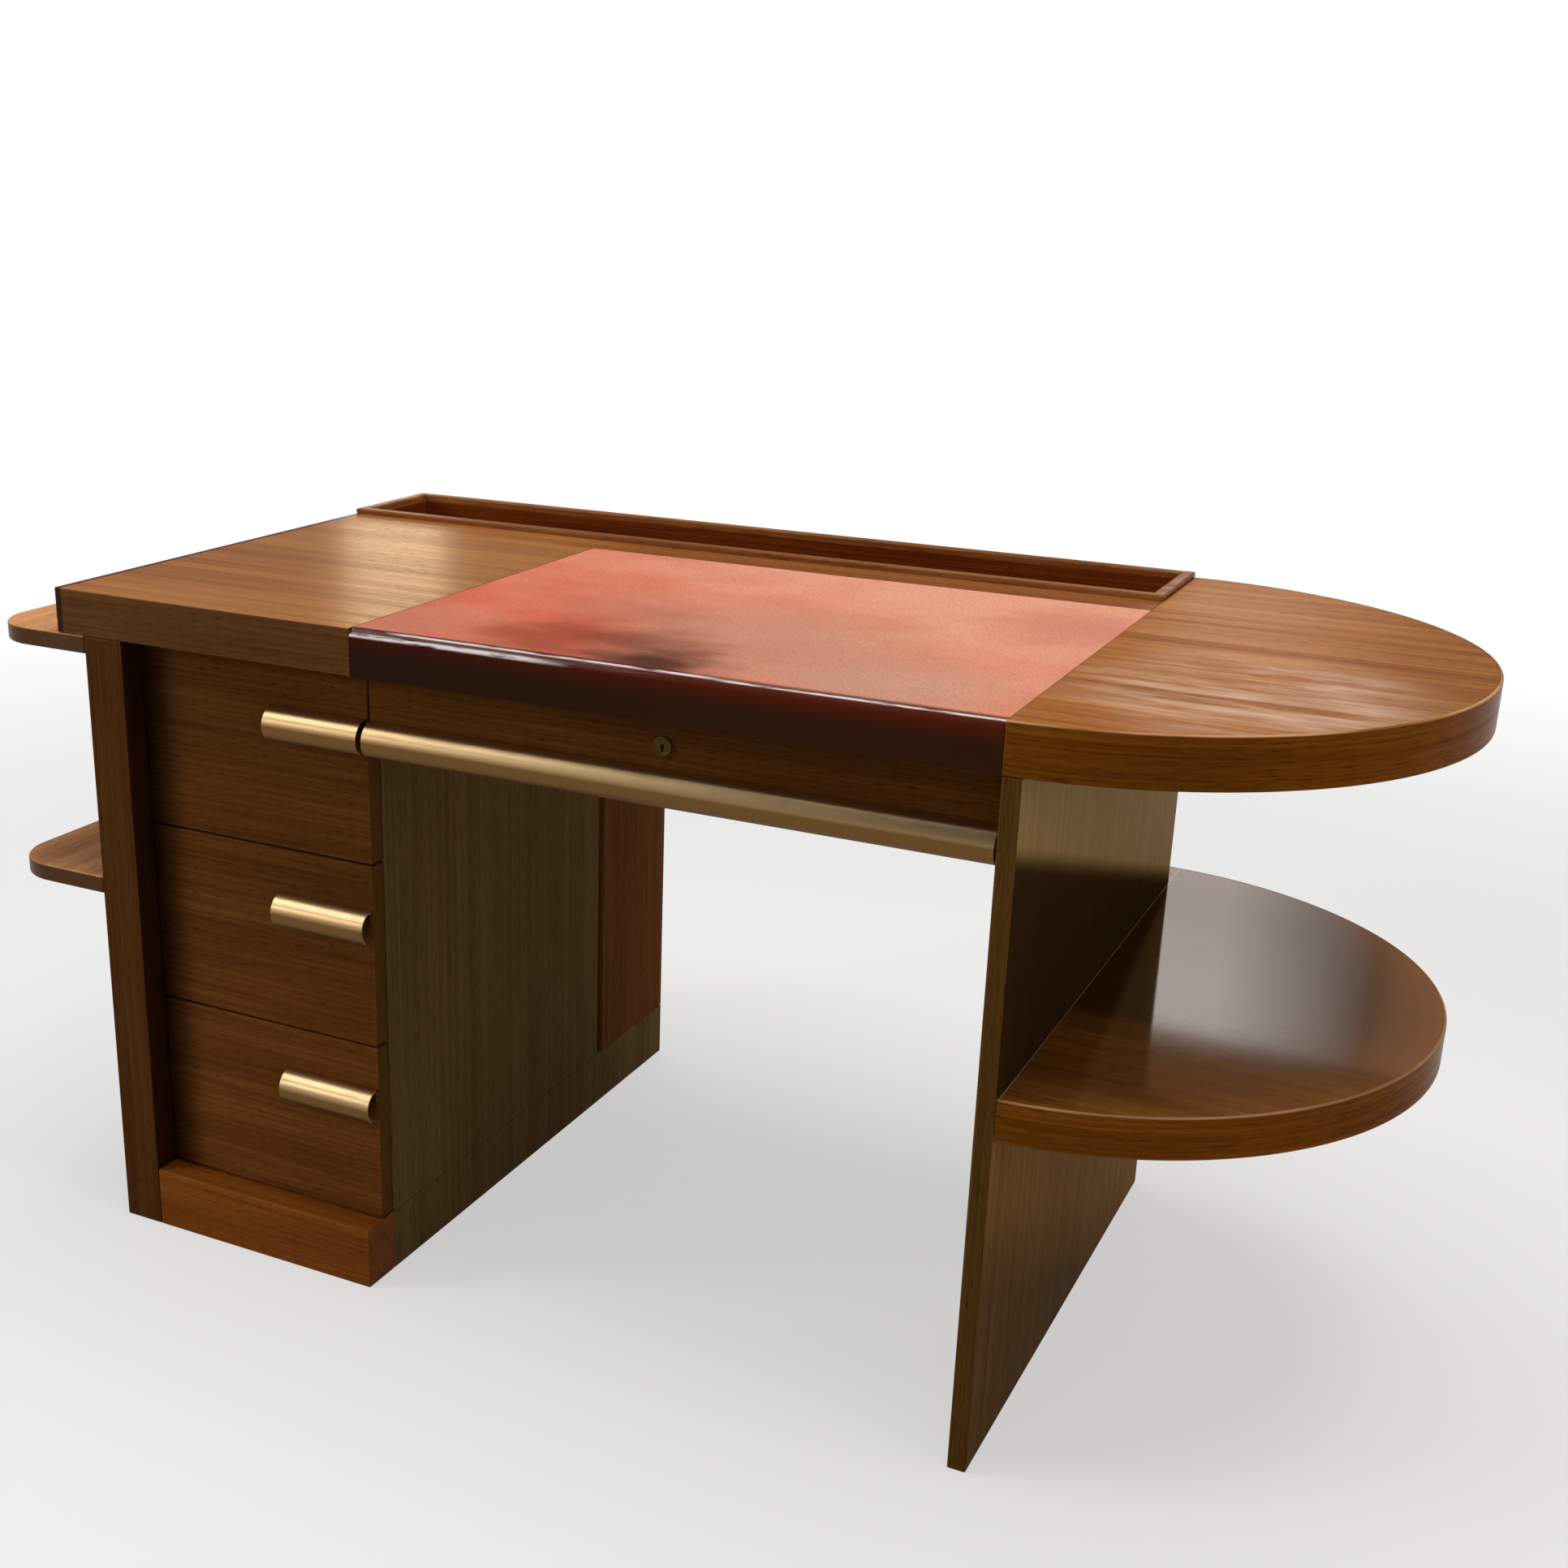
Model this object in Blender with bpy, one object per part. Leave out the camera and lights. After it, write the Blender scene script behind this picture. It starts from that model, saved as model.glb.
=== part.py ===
"""Architect's desk: drawer pedestal, leather writing panel, pencil trough and a D-shaped end.

Lengths are in metres. X runs from the pedestal to the round end, Y from front to back, Z up.
Places are counted from the front left corner of the main top, at floor level. The finished desk
hangs on one empty that brings the middle of its footprint to the origin.
"""

import math

import bmesh
import bpy
from mathutils import Vector

for old in list(bpy.data.objects):
    bpy.data.objects.remove(old)

# Fits
SEAT = 0.0003            # between faces that rest on each other
OVERCUT = 0.010          # how far a cutter runs past the face it enters
EDGE_ROUND = 0.0015      # eased edges of the boards

# Desk top
TOP_HEIGHT = 0.760       # writing surface above the floor
TOP_THICKNESS = 0.050
DESK_DEPTH = 0.728
MAIN_TOP_LENGTH = 1.070  # left edge to the joint with the D-shaped end
TONGUE_LENGTH = 0.012    # tongue of the main top in the D-shaped end
TONGUE_THICKNESS = 0.010
TONGUE_MARGIN = 0.060    # plain wood at both ends of the tongue

# Leather writing panel, which wraps over the front nose
LEATHER_THICKNESS = 0.0025
LEATHER_BORDER = 0.054   # wood between the leather and the trough
NOSE_RADIUS = 0.010

# Pencil trough along the back
TROUGH_WIDTH = 0.159
TROUGH_DEPTH = 0.085
TROUGH_WALL = 0.018
TROUGH_FLOOR = 0.008
TROUGH_LIP = 0.006       # wall below the groove that carries the floor
FLOOR_HOUSING = 0.006
RIM_WIDTH = 0.022
RIM_HEIGHT = 0.006
RIM_ROUND = 0.003

# Pedestal
LEFT_OVERHANG = 0.037    # main top past the left panel
LEFT_PANEL = 0.051
PEDESTAL_WIDTH = 0.351
PANEL = 0.018
PLINTH_HEIGHT = 0.072
PLINTH_BOARD = 0.018
BAY_FLOOR = 0.010
REAR_SETBACK = 0.032     # groove in the kneehole side to the front of the trough
GROOVE_WIDTH = 0.014
GROOVE_LAP = 0.009       # partition behind each lip of the groove

# Round-ended shelves on the left panel
LEFT_SHELF_REACH = 0.145
LEFT_SHELF_BOARD = 0.020
LEFT_SHELF_HEIGHT = 0.431
LEFT_SHELF_CORNER = 0.060
SHELF_HOUSING = 0.006    # depth of the housings that carry the shelves
HOUSING_STOP = 0.022     # housing to the front edge, which it doesn't break

# Leg and D-shaped shelf under the D-shaped end
LEG_BOARD = 0.019
LEG_SETBACK = 0.057      # back edge of the leg to the back of the desk
RIGHT_SHELF_HEIGHT = 0.404
RIGHT_SHELF_BOARD = 0.043

# Drawer fronts
DRAWER_RECESS = 0.030
FRONT_BOARD = 0.020
DRAWER_GAP = 0.0025
CENTRE_FRONT_HEIGHT = 0.088

# Drawer boxes
SIDE_BOARD = 0.014
BACK_BOARD = 0.012
BOTTOM_BOARD = 0.006
BOTTOM_RISE = 0.010      # bottom above the lower edge of the sides
BOTTOM_HOUSING = 0.006
BACK_HOUSING = 0.003
BACK_INSET = 0.012       # back board to the rear ends of the sides
BOX_FOOT = 0.014         # box above the lower edge of the front
HEADROOM = 0.030         # box below the upper edge of the front
CENTRE_HEADROOM = 0.010
SIDE_CLEARANCE = 0.004
BACK_CLEARANCE = 0.012
DOVETAIL_LENGTH = 0.009
DOVETAIL_NECK = 0.006
DOVETAIL_TIP = 0.010
SHOULDER = 0.003         # plain stretch of a side before its grooves start

# Runners in the sides' grooves
RUNNER_BOARD = 0.010
RUNNER_HEIGHT = 0.016
RUNNER_PLAY = 0.001
RUNNER_START = 0.008     # behind the drawer front

# Bent brass pulls
PULL_LENGTH = 0.120
PULL_RADIUS = 0.020
PULL_SHEET = 0.002
PULL_LIP_ANGLE = math.radians(50)
PULL_FLANGE = 0.014
PULL_DROP = 0.050        # top edge of the front to the top of the pull
PULL_END_GAP = 0.002

# Lock of the centre drawer
LOCK_WIDTH = 0.050
LOCK_HEIGHT = 0.042
LOCK_THICKNESS = 0.012
LOCK_LET_IN = 0.010
LOCK_DROP = 0.028        # top edge of the front to the keyhole
BOLT_WIDTH = 0.016
BOLT_THICKNESS = 0.005
BOLT_LENGTH = 0.028
BOLT_SINK = 0.0005       # bolt below the top of its case when it is drawn back
BOLT_PLAY = 0.0003
STRIKE_MARGIN = 0.0015   # room round the bolt in the top's pocket
STRIKE_DEPTH = 0.014
PLATE_RADIUS = 0.010
PLATE_THICKNESS = 0.0025
KEYHOLE_RADIUS = 0.0022
KEYHOLE_SLOT = 0.0022
KEYHOLE_LENGTH = 0.0055

# Steps in the round outlines
HALF_DISC_STEPS = 48
CORNER_STEPS = 8
PULL_STEPS = 14
PLATE_STEPS = 32

# Places that follow from the sizes
UNDERSIDE = TOP_HEIGHT - TOP_THICKNESS
TROUGH_FRONT = DESK_DEPTH - TROUGH_WIDTH
TROUGH_FLOOR_TOP = TOP_HEIGHT - TROUGH_DEPTH
TROUGH_BOTTOM = TROUGH_FLOOR_TOP - TROUGH_FLOOR - TROUGH_LIP
LEATHER_BACK = TROUGH_FRONT - LEATHER_BORDER
BAY_LEFT = LEFT_OVERHANG + LEFT_PANEL
KNEE_LEFT = LEFT_OVERHANG + PEDESTAL_WIDTH
BAY_RIGHT = KNEE_LEFT - PANEL
BAY_END = TROUGH_FRONT - REAR_SETBACK
LEG_OUTER = MAIN_TOP_LENGTH + LEG_BOARD
LEG_BACK = DESK_DEPTH - LEG_SETBACK
ROUND_RADIUS = DESK_DEPTH / 2
FRONT_BACK = DRAWER_RECESS + FRONT_BOARD
PARTITION_FRONT = BAY_END - GROOVE_LAP
BOX_END = PARTITION_FRONT - BACK_CLEARANCE
FOOTPRINT_LEFT = LEFT_OVERHANG - LEFT_SHELF_REACH
FOOTPRINT_RIGHT = MAIN_TOP_LENGTH + ROUND_RADIUS


def finish(name, colour, roughness, metallic=0.0):
    """Plain finish: linear colour, roughness and metallic value."""
    made = bpy.data.materials.new(name)
    made.use_nodes = True
    shader = made.node_tree.nodes["Principled BSDF"]
    shader.inputs["Base Color"].default_value = (*colour, 1.0)
    shader.inputs["Roughness"].default_value = roughness
    shader.inputs["Metallic"].default_value = metallic
    return made


MAHOGANY = finish("polished_mahogany", (0.110, 0.036, 0.012), 0.32)
DARK_MAHOGANY = finish("shaded_mahogany", (0.045, 0.020, 0.008), 0.38)
LINING = finish("drawer_lining_oak", (0.330, 0.190, 0.085), 0.55)
LEATHER = finish("red_leather", (0.360, 0.055, 0.030), 0.42)
BRASS = finish("aged_brass", (0.560, 0.370, 0.140), 0.28, 1.0)
STEEL = finish("lock_steel", (0.320, 0.310, 0.290), 0.40, 1.0)


def empty(name, place, parent=None):
    """Carrier of pieces; its place in the desk's own frame is kept for what hangs on it."""
    made = bpy.data.objects.new(name, None)
    bpy.context.scene.collection.objects.link(made)
    made.parent = parent
    made["place"] = place
    made.location = Vector(place) - Vector(parent["place"] if parent else (0, 0, 0))
    return made


DESK = empty("desk", (0.0, 0.0, 0.0))
DESK.location = (-(FOOTPRINT_LEFT + FOOTPRINT_RIGHT) / 2, -DESK_DEPTH / 2, 0)


def arc(centre, radius, start, end, steps):
    """Points of an arc, with the angles in radians."""
    points = []
    for step in range(steps + 1):
        angle = start + (end - start) * step / steps
        points.append((centre[0] + radius * math.cos(angle), centre[1] + radius * math.sin(angle)))
    return points


def prism(outline, axis, start, length):
    """Solid of a flat outline pushed along an axis; its pairs are the two other coordinates."""
    across, up, along = {"X": (1, 2, 0), "Y": (0, 2, 1), "Z": (0, 1, 2)}[axis]
    shape = bmesh.new()
    corners = []
    for first, second in outline:
        place = Vector()
        place[across], place[up], place[along] = first, second, start
        corners.append(shape.verts.new(place))
    pushed = bmesh.ops.extrude_face_region(shape, geom=[shape.faces.new(corners)])
    shift = Vector()
    shift[along] = length
    moved = [item for item in pushed["geom"] if isinstance(item, bmesh.types.BMVert)]
    bmesh.ops.translate(shape, vec=shift, verts=moved)
    bmesh.ops.recalc_face_normals(shape, faces=shape.faces)
    return shape


def rectangle(low, high):
    return [(low[0], low[1]), (high[0], low[1]), (high[0], high[1]), (low[0], high[1])]


def block(low, high):
    return prism(rectangle(low, high), "Z", low[2], high[2] - low[2])


def piece(name, shape, colour, parent=DESK):
    """Object with its origin at the shape's lowest corner, placed under its parent."""
    corner = Vector(min(vertex.co[axis] for vertex in shape.verts) for axis in range(3))
    bmesh.ops.translate(shape, vec=-corner, verts=shape.verts)
    mesh = bpy.data.meshes.new(name)
    shape.to_mesh(mesh)
    shape.free()
    mesh.shade_smooth()
    mesh.set_sharp_from_angle(angle=math.radians(30))
    mesh.materials.append(colour)
    made = bpy.data.objects.new(name, mesh)
    bpy.context.scene.collection.objects.link(made)
    made.parent = parent
    made.location = corner - Vector(parent["place"])
    return made


def ease(target, width=EDGE_ROUND, segments=2):
    """Eases the sharp edges of a board before anything is cut into it."""
    bevel = target.modifiers.new("eased_edges", "BEVEL")
    bevel.width = width
    bevel.segments = segments
    bevel.limit_method = "ANGLE"
    bevel.angle_limit = math.radians(40)
    return target


def carve(target, name, shape, operation="DIFFERENCE"):
    """Cuts a shape out of a piece, or joins it on, with a live Boolean."""
    tool = piece(f"{target.name}_{name}", shape, STEEL)
    tool.hide_render = True
    tool.display_type = "WIRE"
    change = target.modifiers.new(name, "BOOLEAN")
    change.operation = operation
    change.object = tool


def board(name, low, high, colour=MAHOGANY, parent=DESK):
    return ease(piece(name, block(low, high), colour, parent))


def tongue_block(room):
    """Tongue at the right end of the main top, or its groove when it gets room."""
    middle = UNDERSIDE + TOP_THICKNESS / 2
    half = TONGUE_THICKNESS / 2 + room
    low = (MAIN_TOP_LENGTH - OVERCUT, TONGUE_MARGIN - room, middle - half)
    high = (MAIN_TOP_LENGTH + TONGUE_LENGTH + room, LEATHER_BACK - TONGUE_MARGIN + room, middle + half)
    return block(low, high)


def nose(radius):
    """Quarter round of the front nose, from its top to its front."""
    centre = (NOSE_RADIUS, TOP_HEIGHT - NOSE_RADIUS)
    return arc(centre, radius, math.pi / 2, math.pi, CORNER_STEPS)


def make_main_top(lock_middle, bolt_middle):
    top = board(
        "main_top",
        (0, 0, UNDERSIDE),
        (MAIN_TOP_LENGTH - SEAT, TROUGH_FRONT - SEAT, TOP_HEIGHT),
    )
    rebate = [
        (-OVERCUT, TOP_HEIGHT + OVERCUT),
        (LEATHER_BACK + SEAT, TOP_HEIGHT + OVERCUT),
        (LEATHER_BACK + SEAT, TOP_HEIGHT - LEATHER_THICKNESS - SEAT),
        *nose(NOSE_RADIUS - LEATHER_THICKNESS - SEAT),
        (LEATHER_THICKNESS + SEAT, UNDERSIDE - OVERCUT),
        (-OVERCUT, UNDERSIDE - OVERCUT),
    ]
    rebate_left = KNEE_LEFT - SEAT
    carve(top, "rebate", prism(rebate, "X", rebate_left, MAIN_TOP_LENGTH + OVERCUT - rebate_left))
    carve(top, "tongue", tongue_block(0), "UNION")
    half_width = BOLT_WIDTH / 2 + STRIKE_MARGIN
    half_thickness = BOLT_THICKNESS / 2 + STRIKE_MARGIN
    strike = block(
        (lock_middle - half_width, bolt_middle - half_thickness, UNDERSIDE - OVERCUT),
        (lock_middle + half_width, bolt_middle + half_thickness, UNDERSIDE + STRIKE_DEPTH),
    )
    carve(top, "strike", strike)


def make_leather():
    outline = [
        (LEATHER_BACK, TOP_HEIGHT),
        *nose(NOSE_RADIUS),
        (0, UNDERSIDE),
        (LEATHER_THICKNESS, UNDERSIDE),
        *reversed(nose(NOSE_RADIUS - LEATHER_THICKNESS)),
        (LEATHER_BACK, TOP_HEIGHT - LEATHER_THICKNESS),
    ]
    piece("leather_top", prism(outline, "X", KNEE_LEFT, MAIN_TOP_LENGTH - SEAT - KNEE_LEFT), LEATHER)


def make_d_top():
    centre = (MAIN_TOP_LENGTH, ROUND_RADIUS)
    outline = arc(centre, ROUND_RADIUS, -math.pi / 2, math.pi / 2, HALF_DISC_STEPS)
    top = ease(piece("d_top", prism(outline, "Z", UNDERSIDE, TOP_THICKNESS), MAHOGANY))
    carve(top, "groove", tongue_block(SEAT))


def trough_wall(name, outer, inward):
    """Long wall of the trough; its groove carries the floor."""
    inner = outer + inward * TROUGH_WALL
    groove = inner - inward * FLOOR_HOUSING
    groove_low = TROUGH_FLOOR_TOP - TROUGH_FLOOR - SEAT
    groove_high = TROUGH_FLOOR_TOP + SEAT
    outline = [
        (outer, TROUGH_BOTTOM),
        (inner, TROUGH_BOTTOM),
        (inner, groove_low),
        (groove, groove_low),
        (groove, groove_high),
        (inner, groove_high),
        (inner, TOP_HEIGHT),
        (outer, TOP_HEIGHT),
    ]
    length = MAIN_TOP_LENGTH - 2 * TROUGH_WALL - 3 * SEAT
    piece(name, prism(outline, "X", TROUGH_WALL + SEAT, length), MAHOGANY)


def rim(name, corner, along, inward, length):
    """Strip of the raised rim with mitred ends and a rounded top, from its outer corner."""
    quarter = math.pi / 2
    section = [
        (0, 0),
        (RIM_WIDTH, 0),
        *arc((RIM_WIDTH - RIM_ROUND, RIM_HEIGHT - RIM_ROUND), RIM_ROUND, 0, quarter, CORNER_STEPS // 2),
        *arc((RIM_ROUND, RIM_HEIGHT - RIM_ROUND), RIM_ROUND, quarter, 2 * quarter, CORNER_STEPS // 2),
    ]
    shape = bmesh.new()
    ends = []
    for end in (0, 1):
        ring = []
        for across, height in section:
            run = (length - across - SEAT) if end else (across + SEAT)
            place = Vector(corner) + Vector(along) * run + Vector(inward) * across
            ring.append(shape.verts.new((place.x, place.y, TOP_HEIGHT + SEAT + height)))
        ends.append(ring)
        shape.faces.new(ring)
    for index in range(len(section)):
        after = (index + 1) % len(section)
        shape.faces.new((ends[0][index], ends[0][after], ends[1][after], ends[1][index]))
    bmesh.ops.recalc_face_normals(shape, faces=shape.faces)
    piece(name, shape, MAHOGANY)


def make_trough():
    trough_wall("trough_front_wall", TROUGH_FRONT, 1)
    trough_wall("trough_back_wall", DESK_DEPTH, -1)
    right_end = MAIN_TOP_LENGTH - SEAT
    for name, left in (("trough_left_end", 0), ("trough_right_end", right_end - TROUGH_WALL)):
        board(name, (left, TROUGH_FRONT, TROUGH_BOTTOM), (left + TROUGH_WALL, DESK_DEPTH, TOP_HEIGHT))
    floor_margin = TROUGH_WALL - FLOOR_HOUSING + SEAT
    piece(
        "trough_floor",
        block(
            (TROUGH_WALL + SEAT, TROUGH_FRONT + floor_margin, TROUGH_FLOOR_TOP - TROUGH_FLOOR),
            (right_end - TROUGH_WALL - SEAT, DESK_DEPTH - floor_margin, TROUGH_FLOOR_TOP),
        ),
        MAHOGANY,
    )
    rim("rim_front", (0, TROUGH_FRONT, 0), (1, 0, 0), (0, 1, 0), right_end)
    rim("rim_back", (0, DESK_DEPTH, 0), (1, 0, 0), (0, -1, 0), right_end)
    rim("rim_left", (0, TROUGH_FRONT, 0), (0, 1, 0), (1, 0, 0), TROUGH_WIDTH)
    rim("rim_right", (right_end, TROUGH_FRONT, 0), (0, 1, 0), (-1, 0, 0), TROUGH_WIDTH)


def side_panel(name, left, thickness, front, bottom):
    """Side panel from its front edge to the back of the desk, notched for the trough."""
    panel = board(name, (left, front, bottom), (left + thickness, DESK_DEPTH, UNDERSIDE - SEAT))
    notch = block(
        (left - OVERCUT, TROUGH_FRONT - SEAT, TROUGH_BOTTOM - SEAT),
        (left + thickness + OVERCUT, DESK_DEPTH + OVERCUT, UNDERSIDE + OVERCUT),
    )
    carve(panel, "trough_notch", notch)
    return panel


def left_shelf(name, height, panel):
    """Shelf with rounded outer corners, whose tongue enters a stopped housing of the panel."""
    right = LEFT_OVERHANG - SEAT
    tongue_end = LEFT_OVERHANG + SHELF_HOUSING - SEAT
    turn = FOOTPRINT_LEFT + LEFT_SHELF_CORNER
    quarter = math.pi / 2
    outline = [
        (right, 0),
        (right, BAY_END),
        *arc((turn, BAY_END - LEFT_SHELF_CORNER), LEFT_SHELF_CORNER, quarter, 2 * quarter, CORNER_STEPS),
        *arc((turn, LEFT_SHELF_CORNER), LEFT_SHELF_CORNER, 2 * quarter, 3 * quarter, CORNER_STEPS),
    ]
    bottom = height - LEFT_SHELF_BOARD
    shelf = ease(piece(name, prism(outline, "Z", bottom, LEFT_SHELF_BOARD), MAHOGANY))

    def tongue(room):
        return block(
            (right - OVERCUT, HOUSING_STOP - room, bottom + EDGE_ROUND - room),
            (tongue_end + room, BAY_END - HOUSING_STOP + room, height - EDGE_ROUND + room),
        )

    carve(shelf, "tongue", tongue(0), "UNION")
    carve(panel, f"{name}_housing", tongue(SEAT))


def make_left_side():
    panel = side_panel("left_side_panel", LEFT_OVERHANG, LEFT_PANEL, 0, 0)
    left_shelf("left_shelf_upper", UNDERSIDE - SEAT, panel)
    left_shelf("left_shelf_lower", LEFT_SHELF_HEIGHT, panel)


def make_pedestal():
    above_plinth = PLINTH_HEIGHT + SEAT
    behind_fronts = FRONT_BACK + DRAWER_GAP
    left, right = BAY_LEFT + SEAT, BAY_RIGHT - SEAT
    rear_face = DESK_DEPTH - PANEL
    board(
        "inner_side_panel",
        (BAY_RIGHT, behind_fronts, above_plinth),
        (KNEE_LEFT, BAY_END, UNDERSIDE - SEAT),
        DARK_MAHOGANY,
    )
    side_panel("rear_side_panel", BAY_RIGHT, PANEL, BAY_END + GROOVE_WIDTH, above_plinth)
    floor_top = above_plinth + BAY_FLOOR
    board("pedestal_floor", (left, behind_fronts, above_plinth), (right, rear_face - SEAT, floor_top), LINING)
    board(
        "drawer_bay_back",
        (left, PARTITION_FRONT, floor_top + SEAT),
        (right, BAY_END + GROOVE_WIDTH + GROOVE_LAP, UNDERSIDE - SEAT),
        LINING,
    )
    board("pedestal_rear_panel", (left, rear_face, above_plinth), (right, DESK_DEPTH, TROUGH_BOTTOM - SEAT))
    board("plinth_front", (left, 0, 0), (KNEE_LEFT, FRONT_BACK, PLINTH_HEIGHT))
    side_left = KNEE_LEFT - PLINTH_BOARD
    board(
        "plinth_side",
        (side_left, FRONT_BACK + SEAT, 0),
        (KNEE_LEFT, DESK_DEPTH, PLINTH_HEIGHT),
        DARK_MAHOGANY,
    )
    board("plinth_rear", (left, DESK_DEPTH - PLINTH_BOARD, 0), (side_left - SEAT, DESK_DEPTH, PLINTH_HEIGHT))


def make_right_side():
    """Leg board and the D-shaped shelf, which is notched round the leg and housed in it."""
    leg = board(
        "right_leg_panel",
        (MAIN_TOP_LENGTH, 0, 0),
        (LEG_OUTER, LEG_BACK, UNDERSIDE - SEAT),
        DARK_MAHOGANY,
    )
    shelf_bottom = RIGHT_SHELF_HEIGHT - RIGHT_SHELF_BOARD
    housing = block(
        (LEG_OUTER - SHELF_HOUSING, HOUSING_STOP - SEAT, shelf_bottom - SEAT),
        (LEG_OUTER + OVERCUT, LEG_BACK + OVERCUT, RIGHT_SHELF_HEIGHT + SEAT),
    )
    carve(leg, "housing", housing)
    face = LEG_OUTER + SEAT
    tongue = LEG_OUTER - SHELF_HOUSING + SEAT
    centre = (MAIN_TOP_LENGTH, ROUND_RADIUS)
    outline = arc(centre, ROUND_RADIUS, -math.pi / 2, math.pi / 2, HALF_DISC_STEPS)
    shelf = ease(piece("right_shelf", prism(outline, "Z", shelf_bottom, RIGHT_SHELF_BOARD), MAHOGANY))
    leg_notch = [
        (MAIN_TOP_LENGTH - OVERCUT, -OVERCUT),
        (face, -OVERCUT),
        (face, HOUSING_STOP),
        (tongue, HOUSING_STOP),
        (tongue, LEG_BACK + SEAT),
        (MAIN_TOP_LENGTH - OVERCUT, LEG_BACK + SEAT),
    ]
    notch_bottom = shelf_bottom - OVERCUT
    carve(shelf, "leg_notch", prism(leg_notch, "Z", notch_bottom, RIGHT_SHELF_BOARD + 2 * OVERCUT))


def dovetail(middle, room):
    """Plan of the tongue that joins a drawer side to its front."""
    neck, tip = DOVETAIL_NECK / 2 + room, DOVETAIL_TIP / 2 + room
    end = FRONT_BACK - DOVETAIL_LENGTH - room
    shoulder = FRONT_BACK + SEAT
    return [(middle - neck, shoulder), (middle - tip, end), (middle + tip, end), (middle + neck, shoulder)]


class Drawer:
    """One drawer: its front, dovetailed box and pull, and the runners that carry it."""

    def __init__(self, name, opening, front, bottom, height, headroom, pull_length):
        self.name = name
        self.opening = opening
        self.front_ends = front
        self.bottom = bottom
        self.top = bottom + height
        self.pull_length = pull_length
        self.box_low = bottom + BOX_FOOT
        self.box_high = self.top - headroom
        self.floor_low = self.box_low + BOTTOM_RISE
        self.floor_high = self.floor_low + BOTTOM_BOARD
        self.runner_low = (self.box_low + self.box_high - RUNNER_HEIGHT) / 2
        self.outer = (opening[0] + SIDE_CLEARANCE, opening[1] - SIDE_CLEARANCE)
        self.inner = (self.outer[0] + SIDE_BOARD, self.outer[1] - SIDE_BOARD)
        self.back_face = BOX_END - BACK_INSET - BACK_BOARD
        self.carrier = empty(f"{name}_slide", ((front[0] + front[1]) / 2, DRAWER_RECESS, bottom), DESK)
        self.front = self.make_front()
        self.make_side("left_side", self.outer[0], 1)
        self.make_side("right_side", self.outer[1], -1)
        self.make_back()
        self.make_bottom()
        self.make_pull()
        self.make_runner("left_runner", opening[0], 1)
        self.make_runner("right_runner", opening[1], -1)

    def make_front(self):
        left, right = self.front_ends
        front = board(
            f"{self.name}_front",
            (left, DRAWER_RECESS, self.bottom),
            (right, FRONT_BACK, self.top),
            MAHOGANY,
            self.carrier,
        )
        for side, outer, inward in (("left", self.outer[0], 1), ("right", self.outer[1], -1)):
            plan = dovetail(outer + inward * SIDE_BOARD / 2, SEAT)
            start = self.bottom - OVERCUT
            carve(front, f"{side}_socket", prism(plan, "Z", start, self.box_high + SEAT - start))
        groove = block(
            (self.inner[0], FRONT_BACK - BOTTOM_HOUSING, self.floor_low - SEAT),
            (self.inner[1], FRONT_BACK + OVERCUT, self.floor_high + SEAT),
        )
        carve(front, "groove", groove)
        return front

    def make_side(self, role, outer, inward):
        """Side board: dovetail tongue in front, housing for the back, grooves for bottom and runner."""
        inner = outer + inward * SIDE_BOARD
        housing = inner - inward * BACK_HOUSING
        shoulder = FRONT_BACK + SEAT
        tongue = dovetail(outer + inward * SIDE_BOARD / 2, 0)
        plan = [
            (outer, shoulder),
            *(tongue if inward > 0 else reversed(tongue)),
            (inner, shoulder),
            (inner, self.back_face - SEAT),
            (housing, self.back_face - SEAT),
            (housing, self.back_face + BACK_BOARD + SEAT),
            (inner, self.back_face + BACK_BOARD + SEAT),
            (inner, BOX_END),
            (outer, BOX_END),
        ]
        shape = prism(plan, "Z", self.box_low, self.box_high - self.box_low)
        side = piece(f"{self.name}_{role}", shape, LINING, self.carrier)
        groove_start = shoulder + SHOULDER
        bottom_ends = sorted((inner - inward * BOTTOM_HOUSING, inner + inward * OVERCUT))
        bottom_groove = block(
            (bottom_ends[0], groove_start, self.floor_low - SEAT),
            (bottom_ends[1], BOX_END + OVERCUT, self.floor_high + SEAT),
        )
        carve(side, "bottom_groove", bottom_groove)
        runner_depth = RUNNER_BOARD - SIDE_CLEARANCE + RUNNER_PLAY
        runner_ends = sorted((outer - inward * OVERCUT, outer + inward * runner_depth))
        runner_groove = block(
            (runner_ends[0], groove_start, self.runner_low - RUNNER_PLAY),
            (runner_ends[1], BOX_END + OVERCUT, self.runner_low + RUNNER_HEIGHT + SEAT),
        )
        carve(side, "runner_groove", runner_groove)

    def make_back(self):
        """Back board, which stands on the bottom and sits in the housings of the sides."""
        reach = BACK_HOUSING - SEAT
        shape = block(
            (self.inner[0] - reach, self.back_face, self.floor_high + 2 * SEAT),
            (self.inner[1] + reach, self.back_face + BACK_BOARD, self.box_high),
        )
        piece(f"{self.name}_back", shape, LINING, self.carrier)

    def make_bottom(self):
        """Bottom board with a front tongue between the sides; it slides in from the back."""
        reach = BOTTOM_HOUSING - SEAT
        left, right = self.inner
        wide_front = FRONT_BACK + SHOULDER + 2 * SEAT
        outline = [
            (left + SEAT, FRONT_BACK - reach),
            (right - SEAT, FRONT_BACK - reach),
            (right - SEAT, wide_front),
            (right + reach, wide_front),
            (right + reach, BOX_END),
            (left - reach, BOX_END),
            (left - reach, wide_front),
            (left + SEAT, wide_front),
        ]
        piece(f"{self.name}_bottom", prism(outline, "Z", self.floor_low, BOTTOM_BOARD), LINING, self.carrier)

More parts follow.
